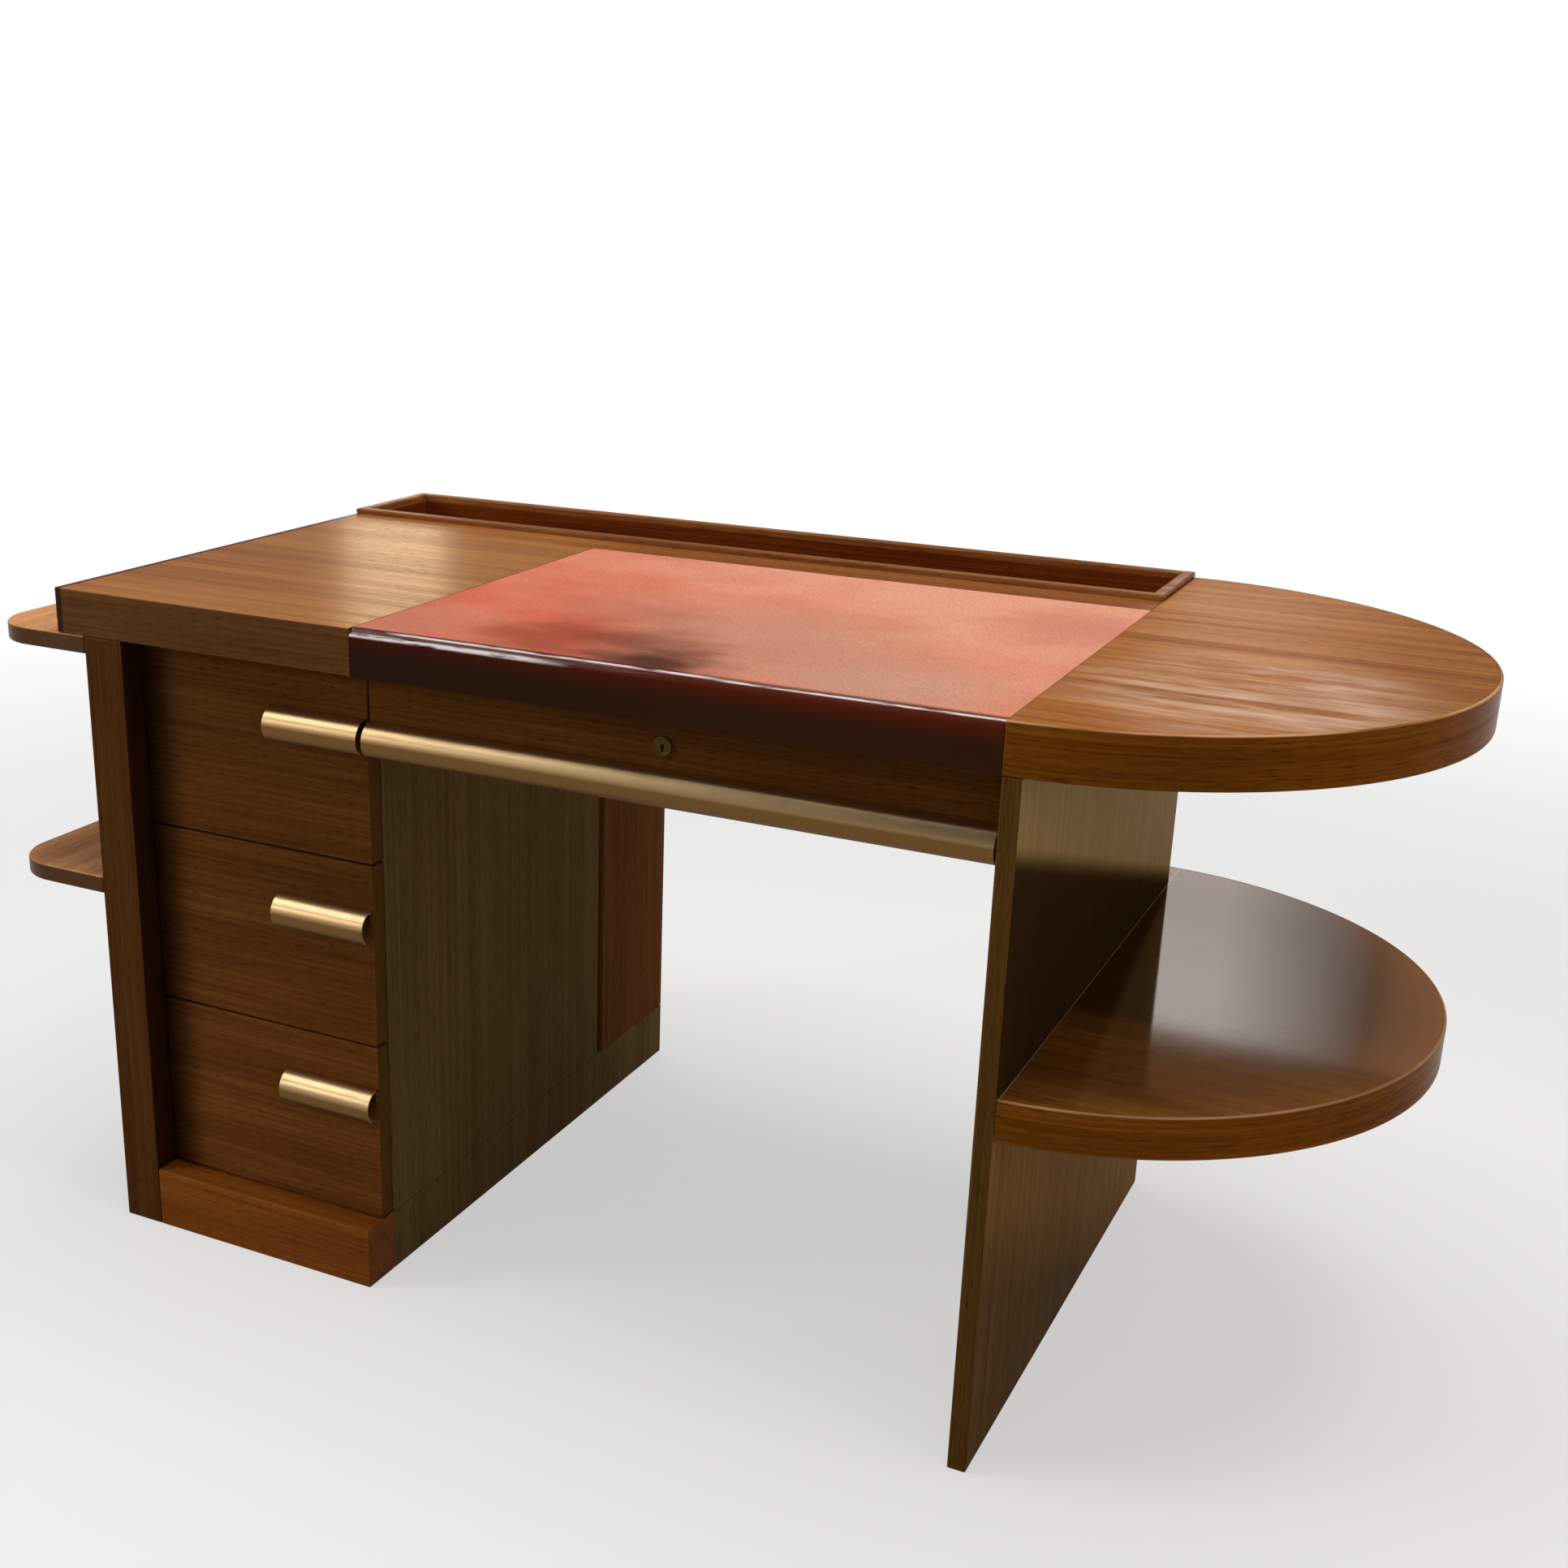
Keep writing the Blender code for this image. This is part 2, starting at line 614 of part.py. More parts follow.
    def make_pull(self):
        """Hood of bent sheet: a flange on the front, a round top and a lip that is open below."""
        face = DRAWER_RECESS - SEAT
        centre = (face, self.top - PULL_DROP - PULL_RADIUS)
        lip = math.pi + PULL_LIP_ANGLE
        inside = PULL_RADIUS - PULL_SHEET
        bend = math.acos(-PULL_SHEET / inside)
        flange_low = centre[1] + PULL_RADIUS - PULL_FLANGE
        section = [
            *arc(centre, PULL_RADIUS, math.pi / 2, lip, PULL_STEPS),
            *arc(centre, inside, lip, bend, PULL_STEPS),
            (face - PULL_SHEET, flange_low),
            (face, flange_low),
        ]
        start = self.front_ends[1] - PULL_END_GAP - self.pull_length
        piece(f"{self.name}_pull", prism(section, "X", start, self.pull_length), BRASS, self.carrier)

    def make_runner(self, role, wall, inward):
        ends = sorted((wall + inward * SEAT, wall + inward * RUNNER_BOARD))
        shape = block(
            (ends[0], FRONT_BACK + RUNNER_START, self.runner_low),
            (ends[1], PARTITION_FRONT - SEAT, self.runner_low + RUNNER_HEIGHT),
        )
        piece(f"{self.name}_{role}", shape, LINING)


def make_lock(drawer):
    """Lock let into the back of the centre drawer's front, with a bolt that rises into the top."""
    middle = sum(drawer.front_ends) / 2
    case_front = FRONT_BACK - LOCK_LET_IN
    case_back = case_front + LOCK_THICKNESS
    case_top = drawer.top - SEAT
    case_bottom = case_top - LOCK_HEIGHT
    mortise = block(
        (middle - LOCK_WIDTH / 2 - SEAT, case_front - SEAT, case_bottom - SEAT),
        (middle + LOCK_WIDTH / 2 + SEAT, FRONT_BACK + OVERCUT, drawer.top + OVERCUT),
    )
    carve(drawer.front, "mortise", mortise)
    case_shape = block(
        (middle - LOCK_WIDTH / 2, case_front, case_bottom),
        (middle + LOCK_WIDTH / 2, case_back, case_top),
    )
    case = piece("lock_case", case_shape, STEEL, drawer.carrier)
    bolt_middle = (case_front + case_back) / 2
    bolt_top = case_top - BOLT_SINK
    bolt_bottom = bolt_top - BOLT_LENGTH
    half_width, half_thickness = BOLT_WIDTH / 2, BOLT_THICKNESS / 2
    slot = block(
        (middle - half_width - BOLT_PLAY, bolt_middle - half_thickness - BOLT_PLAY, bolt_bottom - SEAT),
        (middle + half_width + BOLT_PLAY, bolt_middle + half_thickness + BOLT_PLAY, case_top + OVERCUT),
    )
    carve(case, "slot", slot)
    bolt_slide = empty("lock_bolt_slide", (middle, bolt_middle, bolt_bottom), drawer.carrier)
    bolt_shape = block(
        (middle - half_width, bolt_middle - half_thickness, bolt_bottom),
        (middle + half_width, bolt_middle + half_thickness, bolt_top),
    )
    piece("lock_bolt", bolt_shape, BRASS, bolt_slide)
    keyhole_height = drawer.top - LOCK_DROP
    plate_back = DRAWER_RECESS - SEAT
    round_plate = arc((middle, keyhole_height), PLATE_RADIUS, 0, 2 * math.pi, PLATE_STEPS)[:-1]
    plate_shape = prism(round_plate, "Y", plate_back - PLATE_THICKNESS, PLATE_THICKNESS)
    plate = ease(piece("lock_plate", plate_shape, BRASS, drawer.carrier), PLATE_THICKNESS / 3)
    slot_angle = math.asin(KEYHOLE_SLOT / 2 / KEYHOLE_RADIUS)
    keyhole = [
        *arc(
            (middle, keyhole_height),
            KEYHOLE_RADIUS,
            slot_angle - math.pi / 2,
            3 * math.pi / 2 - slot_angle,
            PLATE_STEPS // 2,
        ),
        (middle - KEYHOLE_SLOT / 2, keyhole_height - KEYHOLE_LENGTH),
        (middle + KEYHOLE_SLOT / 2, keyhole_height - KEYHOLE_LENGTH),
    ]
    hole_start = plate_back - PLATE_THICKNESS - OVERCUT
    carve(plate, "keyhole", prism(keyhole, "Y", hole_start, case_front - hole_start))
    carve(drawer.front, "keyhole", prism(keyhole, "Y", hole_start, case_front - hole_start))
    return middle, bolt_middle


def make_drawers():
    """Three equal drawers in the pedestal and the wide one over the kneehole."""
    bay = (BAY_LEFT, BAY_RIGHT)
    fronts = (BAY_LEFT + DRAWER_GAP, KNEE_LEFT - DRAWER_GAP / 2)
    names = ("bottom_drawer", "middle_drawer", "top_drawer")
    pitch = (UNDERSIDE - PLINTH_HEIGHT - DRAWER_GAP) / len(names)
    for row, name in enumerate(names):
        bottom = PLINTH_HEIGHT + DRAWER_GAP + row * pitch
        Drawer(name, bay, fronts, bottom, pitch - DRAWER_GAP, HEADROOM, PULL_LENGTH)
    kneehole = (KNEE_LEFT, MAIN_TOP_LENGTH)
    wide_front = (KNEE_LEFT + DRAWER_GAP / 2, MAIN_TOP_LENGTH - DRAWER_GAP)
    wide_bottom = UNDERSIDE - DRAWER_GAP - CENTRE_FRONT_HEIGHT
    wide_pull = wide_front[1] - wide_front[0] - 2 * PULL_END_GAP
    return Drawer(
        "centre_drawer",
        kneehole,
        wide_front,
        wide_bottom,
        CENTRE_FRONT_HEIGHT,
        CENTRE_HEADROOM,
        wide_pull,
    )


centre_drawer = make_drawers()
make_main_top(*make_lock(centre_drawer))
make_leather()
make_d_top()
make_trough()
make_left_side()
make_pedestal()
make_right_side()
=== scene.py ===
# %% [markdown]
# # Dressing an architect's desk
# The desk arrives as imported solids: boards, drawers, a lock and bent pulls, all at their real size.
# This lesson gives them their looks. Straight boards keep their solids and only get a finish. What is
# round or soft is modelled again here, finer than the solids, and stands in for them.

# %% Load the solids
import math

import bmesh
import bpy
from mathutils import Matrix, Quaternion, Vector


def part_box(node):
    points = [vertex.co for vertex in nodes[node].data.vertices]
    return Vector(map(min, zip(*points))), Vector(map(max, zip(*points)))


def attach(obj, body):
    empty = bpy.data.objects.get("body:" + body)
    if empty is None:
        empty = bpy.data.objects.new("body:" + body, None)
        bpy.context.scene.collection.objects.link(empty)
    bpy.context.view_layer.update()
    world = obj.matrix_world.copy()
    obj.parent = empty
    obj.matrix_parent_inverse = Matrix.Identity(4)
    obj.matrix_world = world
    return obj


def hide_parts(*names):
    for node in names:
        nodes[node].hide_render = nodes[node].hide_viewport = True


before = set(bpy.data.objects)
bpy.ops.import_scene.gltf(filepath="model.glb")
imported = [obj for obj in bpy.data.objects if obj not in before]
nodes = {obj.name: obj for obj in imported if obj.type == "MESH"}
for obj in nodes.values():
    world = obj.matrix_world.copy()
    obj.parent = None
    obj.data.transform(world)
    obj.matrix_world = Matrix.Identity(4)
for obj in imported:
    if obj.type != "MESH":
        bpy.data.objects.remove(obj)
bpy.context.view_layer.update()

# %% [markdown]
# ## Camera
# The picture was taken by a standing person, a step to the right of the desk, looking down at it.
# The place, the turn and the lens were found by matching corners of the desk with the picture. The
# frame is a square cut from a larger picture, so the lens is shifted a little to the side.

# %% Camera at the picture's viewpoint
PICTURE_SIDE = 1932       # pixels
FOCAL_PIXELS = 2438.4
SHIFT_PIXELS = (181, 90)
EYE = (0.8728, -1.9657, 1.2054)
YAW, PITCH, ROLL = math.radians(-27.057), math.radians(-19.336), math.radians(0.942)

bpy.ops.object.select_all(action="DESELECT")
bpy.ops.object.camera_add(location=EYE)
camera = bpy.context.object
ahead = Vector((math.sin(YAW) * math.cos(PITCH), math.cos(YAW) * math.cos(PITCH), math.sin(PITCH)))
turn = ahead.to_track_quat("-Z", "Y") @ Quaternion((0, 0, 1), ROLL)
camera.rotation_euler = turn.to_euler()
camera.data.lens = camera.data.sensor_width * FOCAL_PIXELS / PICTURE_SIDE
camera.data.shift_x, camera.data.shift_y = (pixels / PICTURE_SIDE for pixels in SHIFT_PIXELS)
bpy.context.scene.camera = camera
bpy.context.scene.view_settings.view_transform = "Standard"
print("lens:", round(camera.data.lens, 1), "mm")

# %% [markdown]
# ## Small helpers for finishes
# Colours are written as sRGB hex values, the way a colour picker shows them. Shaders count in linear
# light, so one function turns the one into the other. Another adds a node, sets it up and links what
# feeds it, which keeps each finish below short enough to read. Sockets are named or counted. A Map Range
# node counts its value as 0, the two ends that it runs between as 1 and 2, and what it gives there as 3
# and 4, which are 0 and 1 unless they are set. A Mix node counts its share as 0 and its colours as 6 and 7.

# %% Colour and node helpers
def linear(code):
    """Linear colour of an sRGB hex value such as '#7a4526'."""
    parts = [int(code[place:place + 2], 16) / 255 for place in (1, 3, 5)]
    return (*[part / 12.92 if part <= 0.04045 else ((part + 0.055) / 1.055) ** 2.4 for part in parts], 1.0)


def feed(tree, node, feeds):
    """Feeds a node's sockets: another node or a socket is linked, a plain value is set."""
    for socket, value in feeds.items():
        if isinstance(value, bpy.types.Node):
            value = next(output for output in value.outputs if output.enabled)
        if isinstance(value, bpy.types.NodeSocket):
            tree.links.new(value, node.inputs[socket])
        else:
            node.inputs[socket].default_value = value


def add(tree, kind, feeds=None, **settings):
    """Adds a shader node of a kind such as 'Mix', with its settings and what feeds it."""
    node = tree.nodes.new("ShaderNode" + kind)
    for name, value in settings.items():
        setattr(node, name, value)
    feed(tree, node, feeds or {})
    return node


def facing(tree, side):
    """How far a face looks to the right (X), to the back (Y) or up (Z), from -1 to 1."""
    looks = add(tree, "NewGeometry").outputs["Normal"]
    return add(tree, "SeparateXYZ", {0: looks}).outputs[side]


def start_finish(name):
    """New material with its node tree and its Principled shader."""
    made = bpy.data.materials.new(name)
    made.use_nodes = True
    return made, made.node_tree, made.node_tree.nodes["Principled BSDF"]


print("white is", [round(part, 2) for part in linear("#ffffff")])

# %% [markdown]
# ## Floor and light
# A studio floor is pale and runs on until it meets a white horizon. For the camera and for reflections
# it is nearly white and keeps the shadow; for the light that bounces around under the desk it is a
# plain grey, as a studio floor is where no lamp reaches it. Far away it turns fully white.

# %% Floor
FLOOR_REACH = 60.0
FLOOR_DROP = 0.0005        # just clear of the feet
SHADOW_REACH = (1.4, 3.6)  # metres from the middle: full shadow, no shadow
WHITE_SHARE = (0.55, 1.0)  # how much of the floor is plain white there

bpy.ops.object.select_all(action="DESELECT")
bpy.ops.mesh.primitive_circle_add(
    vertices=64, radius=FLOOR_REACH, fill_type="NGON", location=(0, 0, -FLOOR_DROP)
)
floor = bpy.context.object
floor.name = "studio_floor"
paper, tree, shader = start_finish("pale_studio_floor")
tree.nodes.remove(shader)
place = add(tree, "TexCoord").outputs["Object"]
distance = add(tree, "VectorMath", {0: place}, operation="LENGTH")
whiteness = {0: distance, 1: SHADOW_REACH[0], 2: SHADOW_REACH[1], 3: WHITE_SHARE[0], 4: WHITE_SHARE[1]}
whiteness = add(tree, "MapRange", whiteness, interpolation_type="SMOOTHSTEP")
lit = add(tree, "BsdfDiffuse", {"Color": linear("#f6f5f3")})
white = add(tree, "Emission", {"Color": linear("#ffffff"), "Strength": 1.0})
seen = add(tree, "MixShader", {"Fac": whiteness, 1: lit, 2: white})
bounce = add(tree, "BsdfDiffuse", {"Color": linear("#bdbab5")})
ray = add(tree, "LightPath").outputs
direct = add(tree, "Math", {0: ray["Is Camera Ray"], 1: ray["Is Glossy Ray"]})
either = add(tree, "Math", {0: direct, 1: ray["Is Transmission Ray"]}, use_clamp=True)
ground = add(tree, "MixShader", {"Fac": either, 1: bounce, 2: seen})
feed(tree, tree.nodes["Material Output"], {"Surface": ground})
floor.data.materials.append(paper)
print("floor:", FLOOR_REACH, "m around the desk")

# %% [markdown]
# The camera sees white all round. For light the room is dim above a white horizon, and reflections find
# its walls darker still: a polished top that is seen at a low angle mirrors what stands behind it, and
# a room that was white up to the ceiling would lay a grey veil over the wood.

# %% Room
ROOM_LIGHT = 0.17
WALL_IN_REFLECTIONS = 0.06
HORIZON_TOP = (math.sin(math.radians(4)), math.sin(math.radians(6)))

world = bpy.data.worlds.new("studio_room")
bpy.context.scene.world = world
world.use_nodes = True
tree = world.node_tree
ray_direction = add(tree, "TexCoord").outputs["Generated"]
height = add(tree, "SeparateXYZ", {0: ray_direction}).outputs["Z"]
ray = add(tree, "LightPath").outputs
wall = add(tree, "MapRange", {0: ray["Is Glossy Ray"], 3: ROOM_LIGHT, 4: WALL_IN_REFLECTIONS})
level = {0: height, 1: HORIZON_TOP[0], 2: HORIZON_TOP[1], 3: 1.0, 4: wall}
level = add(tree, "MapRange", level, interpolation_type="SMOOTHSTEP")
strength = add(tree, "Math", {0: level, 1: ray["Is Camera Ray"]}, operation="MAXIMUM")
feed(tree, tree.nodes["Background"], {"Strength": strength, "Color": linear("#ffffff")})
print("room light:", ROOM_LIGHT)

# %% [markdown]
# A wide soft lamp above lights the tops, so the fronts fall into shade, and weaker ones from the left and
# the right fill the shade in. These three give light only. The others show only as highlights: a tube and
# a softbox above the front are mirrored by the bent brass, and so is a panel in front, which fades
# downwards. A panel behind the desk gives the warm pale band on the main top. The lower shelf is dark and
# polished like a mirror. It shows a wall of warm light behind the desk and, below that, a window, which is
# brightest at the left and at the top. Where on the lamp a ray meets it decides how bright it is there.

# %% Lamps
def soft_lamp(name, place, target, size, power, colour="#ffffff", mirrored=True):
    """Rectangular lamp that looks at a point. It either gives light or is only mirrored."""
    bpy.ops.object.select_all(action="DESELECT")
    bpy.ops.object.light_add(type="AREA", location=place)
    lamp = bpy.context.object
    lamp.name = name
    lamp.data.shape = "RECTANGLE"
    lamp.data.size, lamp.data.size_y = size
    lamp.data.energy = power
    lamp.data.color = linear(colour)[:3]
    lamp.rotation_euler = (Vector(target) - Vector(place)).to_track_quat("-Z", "Y").to_euler()
    lamp.visible_camera = False
    lamp.visible_glossy = mirrored
    lamp.visible_diffuse = not mirrored
    return lamp


def fade_out(lamp, *ramps):
    """Lets a lamp fade: a ramp has a side of the lamp, its dim and its bright end, and what is left."""
    lamp.data.use_nodes = True
    tree = lamp.data.node_tree
    spot = add(tree, "NewGeometry").outputs["Parametric"]
    spot = add(tree, "SeparateXYZ", {0: spot}).outputs
    strength = 1.0
    for side, dim, bright, left_over in ramps:
        ramp = add(tree, "MapRange", {0: spot[side], 1: dim, 2: bright, 3: left_over})
        strength = add(tree, "Math", {0: ramp, 1: strength}, operation="MULTIPLY")
    feed(tree, tree.nodes["Emission"], {"Strength": strength})


soft_lamp("ceiling_lamp", (0.1, 0.15, 3.1), (0.1, 0.1, 0), (2.6, 2.0), 60, mirrored=False)
soft_lamp("left_fill", (-3.4, -2.2, 1.8), (-0.4, -0.3, 0.3), (1.2, 1.2), 48, mirrored=False)
soft_lamp("right_fill", (2.6, -0.5, 1.1), (0.5, -0.1, 0.45), (1.2, 1.2), 6, "#fff0d8", mirrored=False)
soft_lamp("tube_lamp", (-0.9, -0.9, 2.5), (-0.9, -0.9, 0), (2.6, 0.07), 1.5)
soft_lamp("overhead_softbox", (-2.28, -1.3, 2.9), (-2.28, -1.3, 0), (0.95, 3.0), 33)
soft_lamp("pale_band_panel", (-2.5, 3.0, 1.55), (-0.4, 0, 0.76), (0.3, 0.9), 2.1, "#ffe9c0")
soft_lamp("warm_wall", (0.05, 3.0, 2.1), (0.05, 0, 2.1), (1.6, 0.64), 1.3, "#f09a3c")
window = soft_lamp("window", (0.25, 3.0, 1.5), (0.25, 0, 1.5), (0.9, 0.54), 5.3, "#fff1e8")
fade_out(window, ("X", 0.3, 0.72, 0.08), ("Y", 0.3, 1.0, 0.6))
front_panel = soft_lamp("front_panel", (-3.5, -4.0, 1.75), (-3.5, 0, 1.75), (1.4, 2.3), 75)
fade_out(front_panel, ("Y", 0.0, 0.75, 0.0))

# %% [markdown]
# ## Wood
# Mahogany is a reddish brown wood with long streaks, fine dark pores and, on a quarter-sawn face, soft
# ribbons of light and dark. All of that can be drawn from one idea: noise that is stretched along the
# grain. A streak of 170 by 3 mm and a pore of 16 by 1 mm are the same noise at other sizes. The real
# pores are a third as wide, too fine for a picture of the whole desk, so they are drawn coarser. A picture
# of wood would be quicker, but it would repeat, and noise suits a board of any size. Where an edge is
# rounded, a Bevel node's normal leaves that of the face, and there the finish is rubbed off.

# %% Grain of a board
GRAIN_TURN = {"X": (0, 0, 0), "Y": (0, 0, -math.pi / 2), "Z": (0, math.pi / 2, 0)}
CLOUD_MM = (420, 160, 160)
RUB_MM = (45, 45, 45)
PORE_SHARE = 1 / 11        # a pore is this much of a streak, but not under 1 mm
GRAIN_RELIEF = 0.0004
ARRIS_REACH = 0.003        # how far from an edge the finish is rubbed


def stretched_noise(tree, place, size_mm, detail=2.0):
    """Noise whose blots have this length along the grain, width and thickness."""
    drawn_out = add(tree, "Mapping", {"Vector": place, "Scale": [1000 / side for side in size_mm]})
    return add(tree, "TexNoise", {"Vector": drawn_out, "Scale": 1.0, "Detail": detail})


def sawn_wood(name, along, tones, gloss=0.05, polish=(0.22, 0.36), worn=0.5, depth=0.22,
              streak=(170, 3, 3), band=(800, 24, 24)):
    """Finished wood. Returns the material, its tree, its shader, its colour and the place on the board."""
    made, tree, shader = start_finish(name)
    dark, middle, light = (linear(tone) for tone in tones)
    board = add(tree, "TexCoord").outputs["Object"]
    place = add(tree, "Mapping", {"Vector": board, "Rotation": GRAIN_TURN[along]})
    streaks = stretched_noise(tree, place, streak, 4.0)
    bands = stretched_noise(tree, place, band)
    clouds = stretched_noise(tree, place, CLOUD_MM)
    tone = 0.0
    for noise, share in ((streaks, 0.42), (bands, 0.38), (clouds, 0.2)):
        tone = add(tree, "Math", {0: noise, 1: share, 2: tone}, operation="MULTIPLY_ADD")
    deep = add(tree, "MapRange", {0: tone, 1: 0.36, 2: 0.5})
    bright = add(tree, "MapRange", {0: tone, 1: 0.5, 2: 0.65})
    colour = add(tree, "Mix", {0: deep, 6: dark, 7: middle}, data_type="RGBA")
    colour = add(tree, "Mix", {0: bright, 6: colour, 7: light}, data_type="RGBA")

    pores = stretched_noise(tree, place, [max(1.0, side * PORE_SHARE) for side in streak], 1.0)
    open_pore = add(tree, "MapRange", {0: pores, 1: 0.58, 2: 0.7, 4: 0.55})
    colour = add(tree, "Mix", {0: open_pore, 6: colour, 7: linear("#1c0c05")}, data_type="RGBA")

    rounded = add(tree, "Bevel", {"Radius": ARRIS_REACH}, samples=4)
    true_face = add(tree, "NewGeometry").outputs["True Normal"]
    agree = add(tree, "VectorMath", {0: rounded, 1: true_face}, operation="DOT_PRODUCT")
    edge = add(tree, "MapRange", {0: agree, 1: 0.99, 2: 0.86, 4: worn})
    rubs = stretched_noise(tree, board, RUB_MM, 3.0)
    rubbed = add(tree, "MapRange", {0: rubs, 1: 0.4, 2: 0.62})
    wear = add(tree, "Math", {0: edge, 1: rubbed}, operation="MULTIPLY")
    colour = add(tree, "Mix", {0: wear, 6: colour, 7: linear("#a9713f")}, data_type="RGBA")

    relief = add(tree, "Math", {0: open_pore, 1: -1.0, 2: streaks}, operation="MULTIPLY_ADD")
    bump = add(tree, "Bump", {"Strength": depth, "Distance": GRAIN_RELIEF, "Height": relief})
    rough = add(tree, "MapRange", {0: tone, 1: 0.35, 2: 0.65, 3: polish[1], 4: polish[0]})
    feed(tree, shader, {"Base Color": colour, "Normal": bump, "Roughness": rough})
    feed(tree, shader, {"Specular IOR Level": gloss})
    return made, tree, shader, colour, board


print("grain may run along", list(GRAIN_TURN))

# %% [markdown]
# The boards of one desk are cut from different planks. The tops are the palest and the fronts are darker:
# partly the tops have been in the light for decades, partly this is painted light and shade. The plinth is
# paler than the fronts, as painted light. The uprights are quarter-sawn, so that ribbons run down them. The
# trough was stained dark, and its rim is rubbed bare along the edges.

# %% Planks for tops, fronts, trough and plinth
TOP_TONES = ("#894f22", "#a76732", "#c18144")
# the fronts' tones are darker partly as painted shade
FRONT_TONES = ("#543013", "#653b18", "#764b21")
POST_TONES = ("#48280d", "#573211", "#653f18")
# the plinth's tones are paler as painted light
PLINTH_TONES = ("#773f14", "#8e4f1a", "#a26128")
RED_TONES = ("#74421c", "#8f5526", "#a56832")
TROUGH_TONES = ("#5e290b", "#7a380e", "#924e1a")
RIM_TONES = ("#70401e", "#8a522a", "#a87244")
OILED = (0.28, 0.4)        # roughness of wood that is oiled and not polished

plinth_wood = sawn_wood("oiled_mahogany_plinth", "X", PLINTH_TONES, gloss=0.02, polish=OILED)[0]
red_upright_wood = sawn_wood("red_mahogany_upright", "Z", RED_TONES, gloss=0.003)[0]
trough_wood = sawn_wood("dark_mahogany_trough", "X", TROUGH_TONES, gloss=0.02)[0]
trough_end_wood = sawn_wood("dark_mahogany_trough_ends", "Y", TROUGH_TONES, gloss=0.02)[0]
rim_wood = sawn_wood("rubbed_mahogany_rim", "X", RIM_TONES, gloss=0.04, worn=0.8)[0]
print("planks:", [made.name for made in bpy.data.materials if "mahogany" in made.name])

# %% [markdown]
# The upright beside the kneehole is darkest in front, where knees and hands have rubbed wax and dirt into
# it. A colour that is multiplied by a number under 1 gets darker, and the place on the board gives the
# number.

# %% Upright beside the kneehole
UPRIGHT_TONES = ("#7a5d37", "#896c42", "#987c4f")
QUARTER_SAWN = {"streak": (220, 2.6, 2.6), "band": (1200, 9, 9), "polish": (0.24, 0.36), "worn": 0.3}
RUBBED_DARK = (-0.34, -0.2)   # from the front edge to where it ends

upright_wood, tree, shader, colour, board = sawn_wood(
    "quarter_sawn_mahogany_uprights", "Z", UPRIGHT_TONES, gloss=0.002, **QUARTER_SAWN
)
to_back = add(tree, "SeparateXYZ", {0: board}).outputs["Y"]
handled = add(tree, "MapRange", {0: to_back, 1: RUBBED_DARK[0], 2: RUBBED_DARK[1], 3: 0.72, 4: 1.06})
colour = add(tree, "VectorMath", {0: colour, "Scale": handled}, operation="SCALE")
feed(tree, shader, {"Base Color": colour})
print("upright:", upright_wood.name)

# %% [markdown]
# The left panel stands proud of the drawers. Its inner face lies in the shade of that recess, and this
# shade is painted on as a nearly black colour. The board is one solid with one finish, so the face can't
# have a finish of its own. Only that face looks to the right, so the way that a face looks picks it out.

# %% Side panel with a dark inner face
post_wood, tree, shader, colour, board = sawn_wood(
    "oiled_mahogany_side_panel", "Z", POST_TONES, gloss=0.02, polish=OILED
)
# painted shade on the inner face
shaded_inner_face = add(tree, "MapRange", {0: facing(tree, "X"), 1: 0.5, 2: 0.9, 4: 0.75})
colour = add(tree, "Mix", {0: shaded_inner_face, 6: colour, 7: linear("#2a1407")}, data_type="RGBA")
feed(tree, shader, {"Base Color": colour})
print("side panel:", post_wood.name)

# %% [markdown]
# The shadow of that panel is painted onto the drawers beside it, fading over the breadth of two or three
# fingers. There the place on the front decides. The lower drawers are painted a little paler and the top of
# the fronts darker, as painted light and shade below the slab. At the right end of a front the end grain
# shows, as brown as the upright behind it.

# %% Drawer fronts
PANEL_SHADOW_REACH = 0.055
PALER_BELOW = (0.12, 0.7)   # heights of the lowest and the highest front

panel_low, panel_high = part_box("left_side_panel")
front_wood, tree, shader, colour, board = sawn_wood(
    "oiled_mahogany_fronts", "X", FRONT_TONES, gloss=0.003, polish=OILED
)
axes = add(tree, "SeparateXYZ", {0: board}).outputs
# painted light and shade: paler low down, darker under the slab
paler = add(tree, "MapRange", {0: axes["Z"], 1: PALER_BELOW[0], 2: PALER_BELOW[1], 3: 1.4, 4: 0.85})
colour = add(tree, "VectorMath", {0: colour, "Scale": paler}, operation="SCALE")
# painted shadow of the side panel on the drawers
corner = {0: axes["X"], 1: panel_high.x, 2: panel_high.x + PANEL_SHADOW_REACH, 3: 0.85, 4: 0.0}
corner = add(tree, "MapRange", corner, interpolation_type="SMOOTHSTEP")
colour = add(tree, "Mix", {0: corner, 6: colour, 7: linear("#150a03")}, data_type="RGBA")
end_grain = add(tree, "MapRange", {0: facing(tree, "X"), 1: 0.5, 2: 0.9, 4: 0.9})
colour = add(tree, "Mix", {0: end_grain, 6: colour, 7: linear("#6a4a20")}, data_type="RGBA")
feed(tree, shader, {"Base Color": colour})
print("drawer fronts:", front_wood.name)

# %% [markdown]
# The bands that run round the curved edges are handled most. Their rounded arris shows a light line in long
# stretches, partly polish rubbed off and partly a painted highlight. The line is where the surface looks
# half up, half out. A band stands on its edge and shows level lines all round it, so its grain is long both
# ways and thin upwards.

# %% Edge band with a rubbed arris and a painted highlight
EDGE_TONES = ("#6b390b", "#854c12", "#9c5f1d")
LEVEL_LINES = {"streak": (260, 260, 3), "band": (700, 700, 14)}

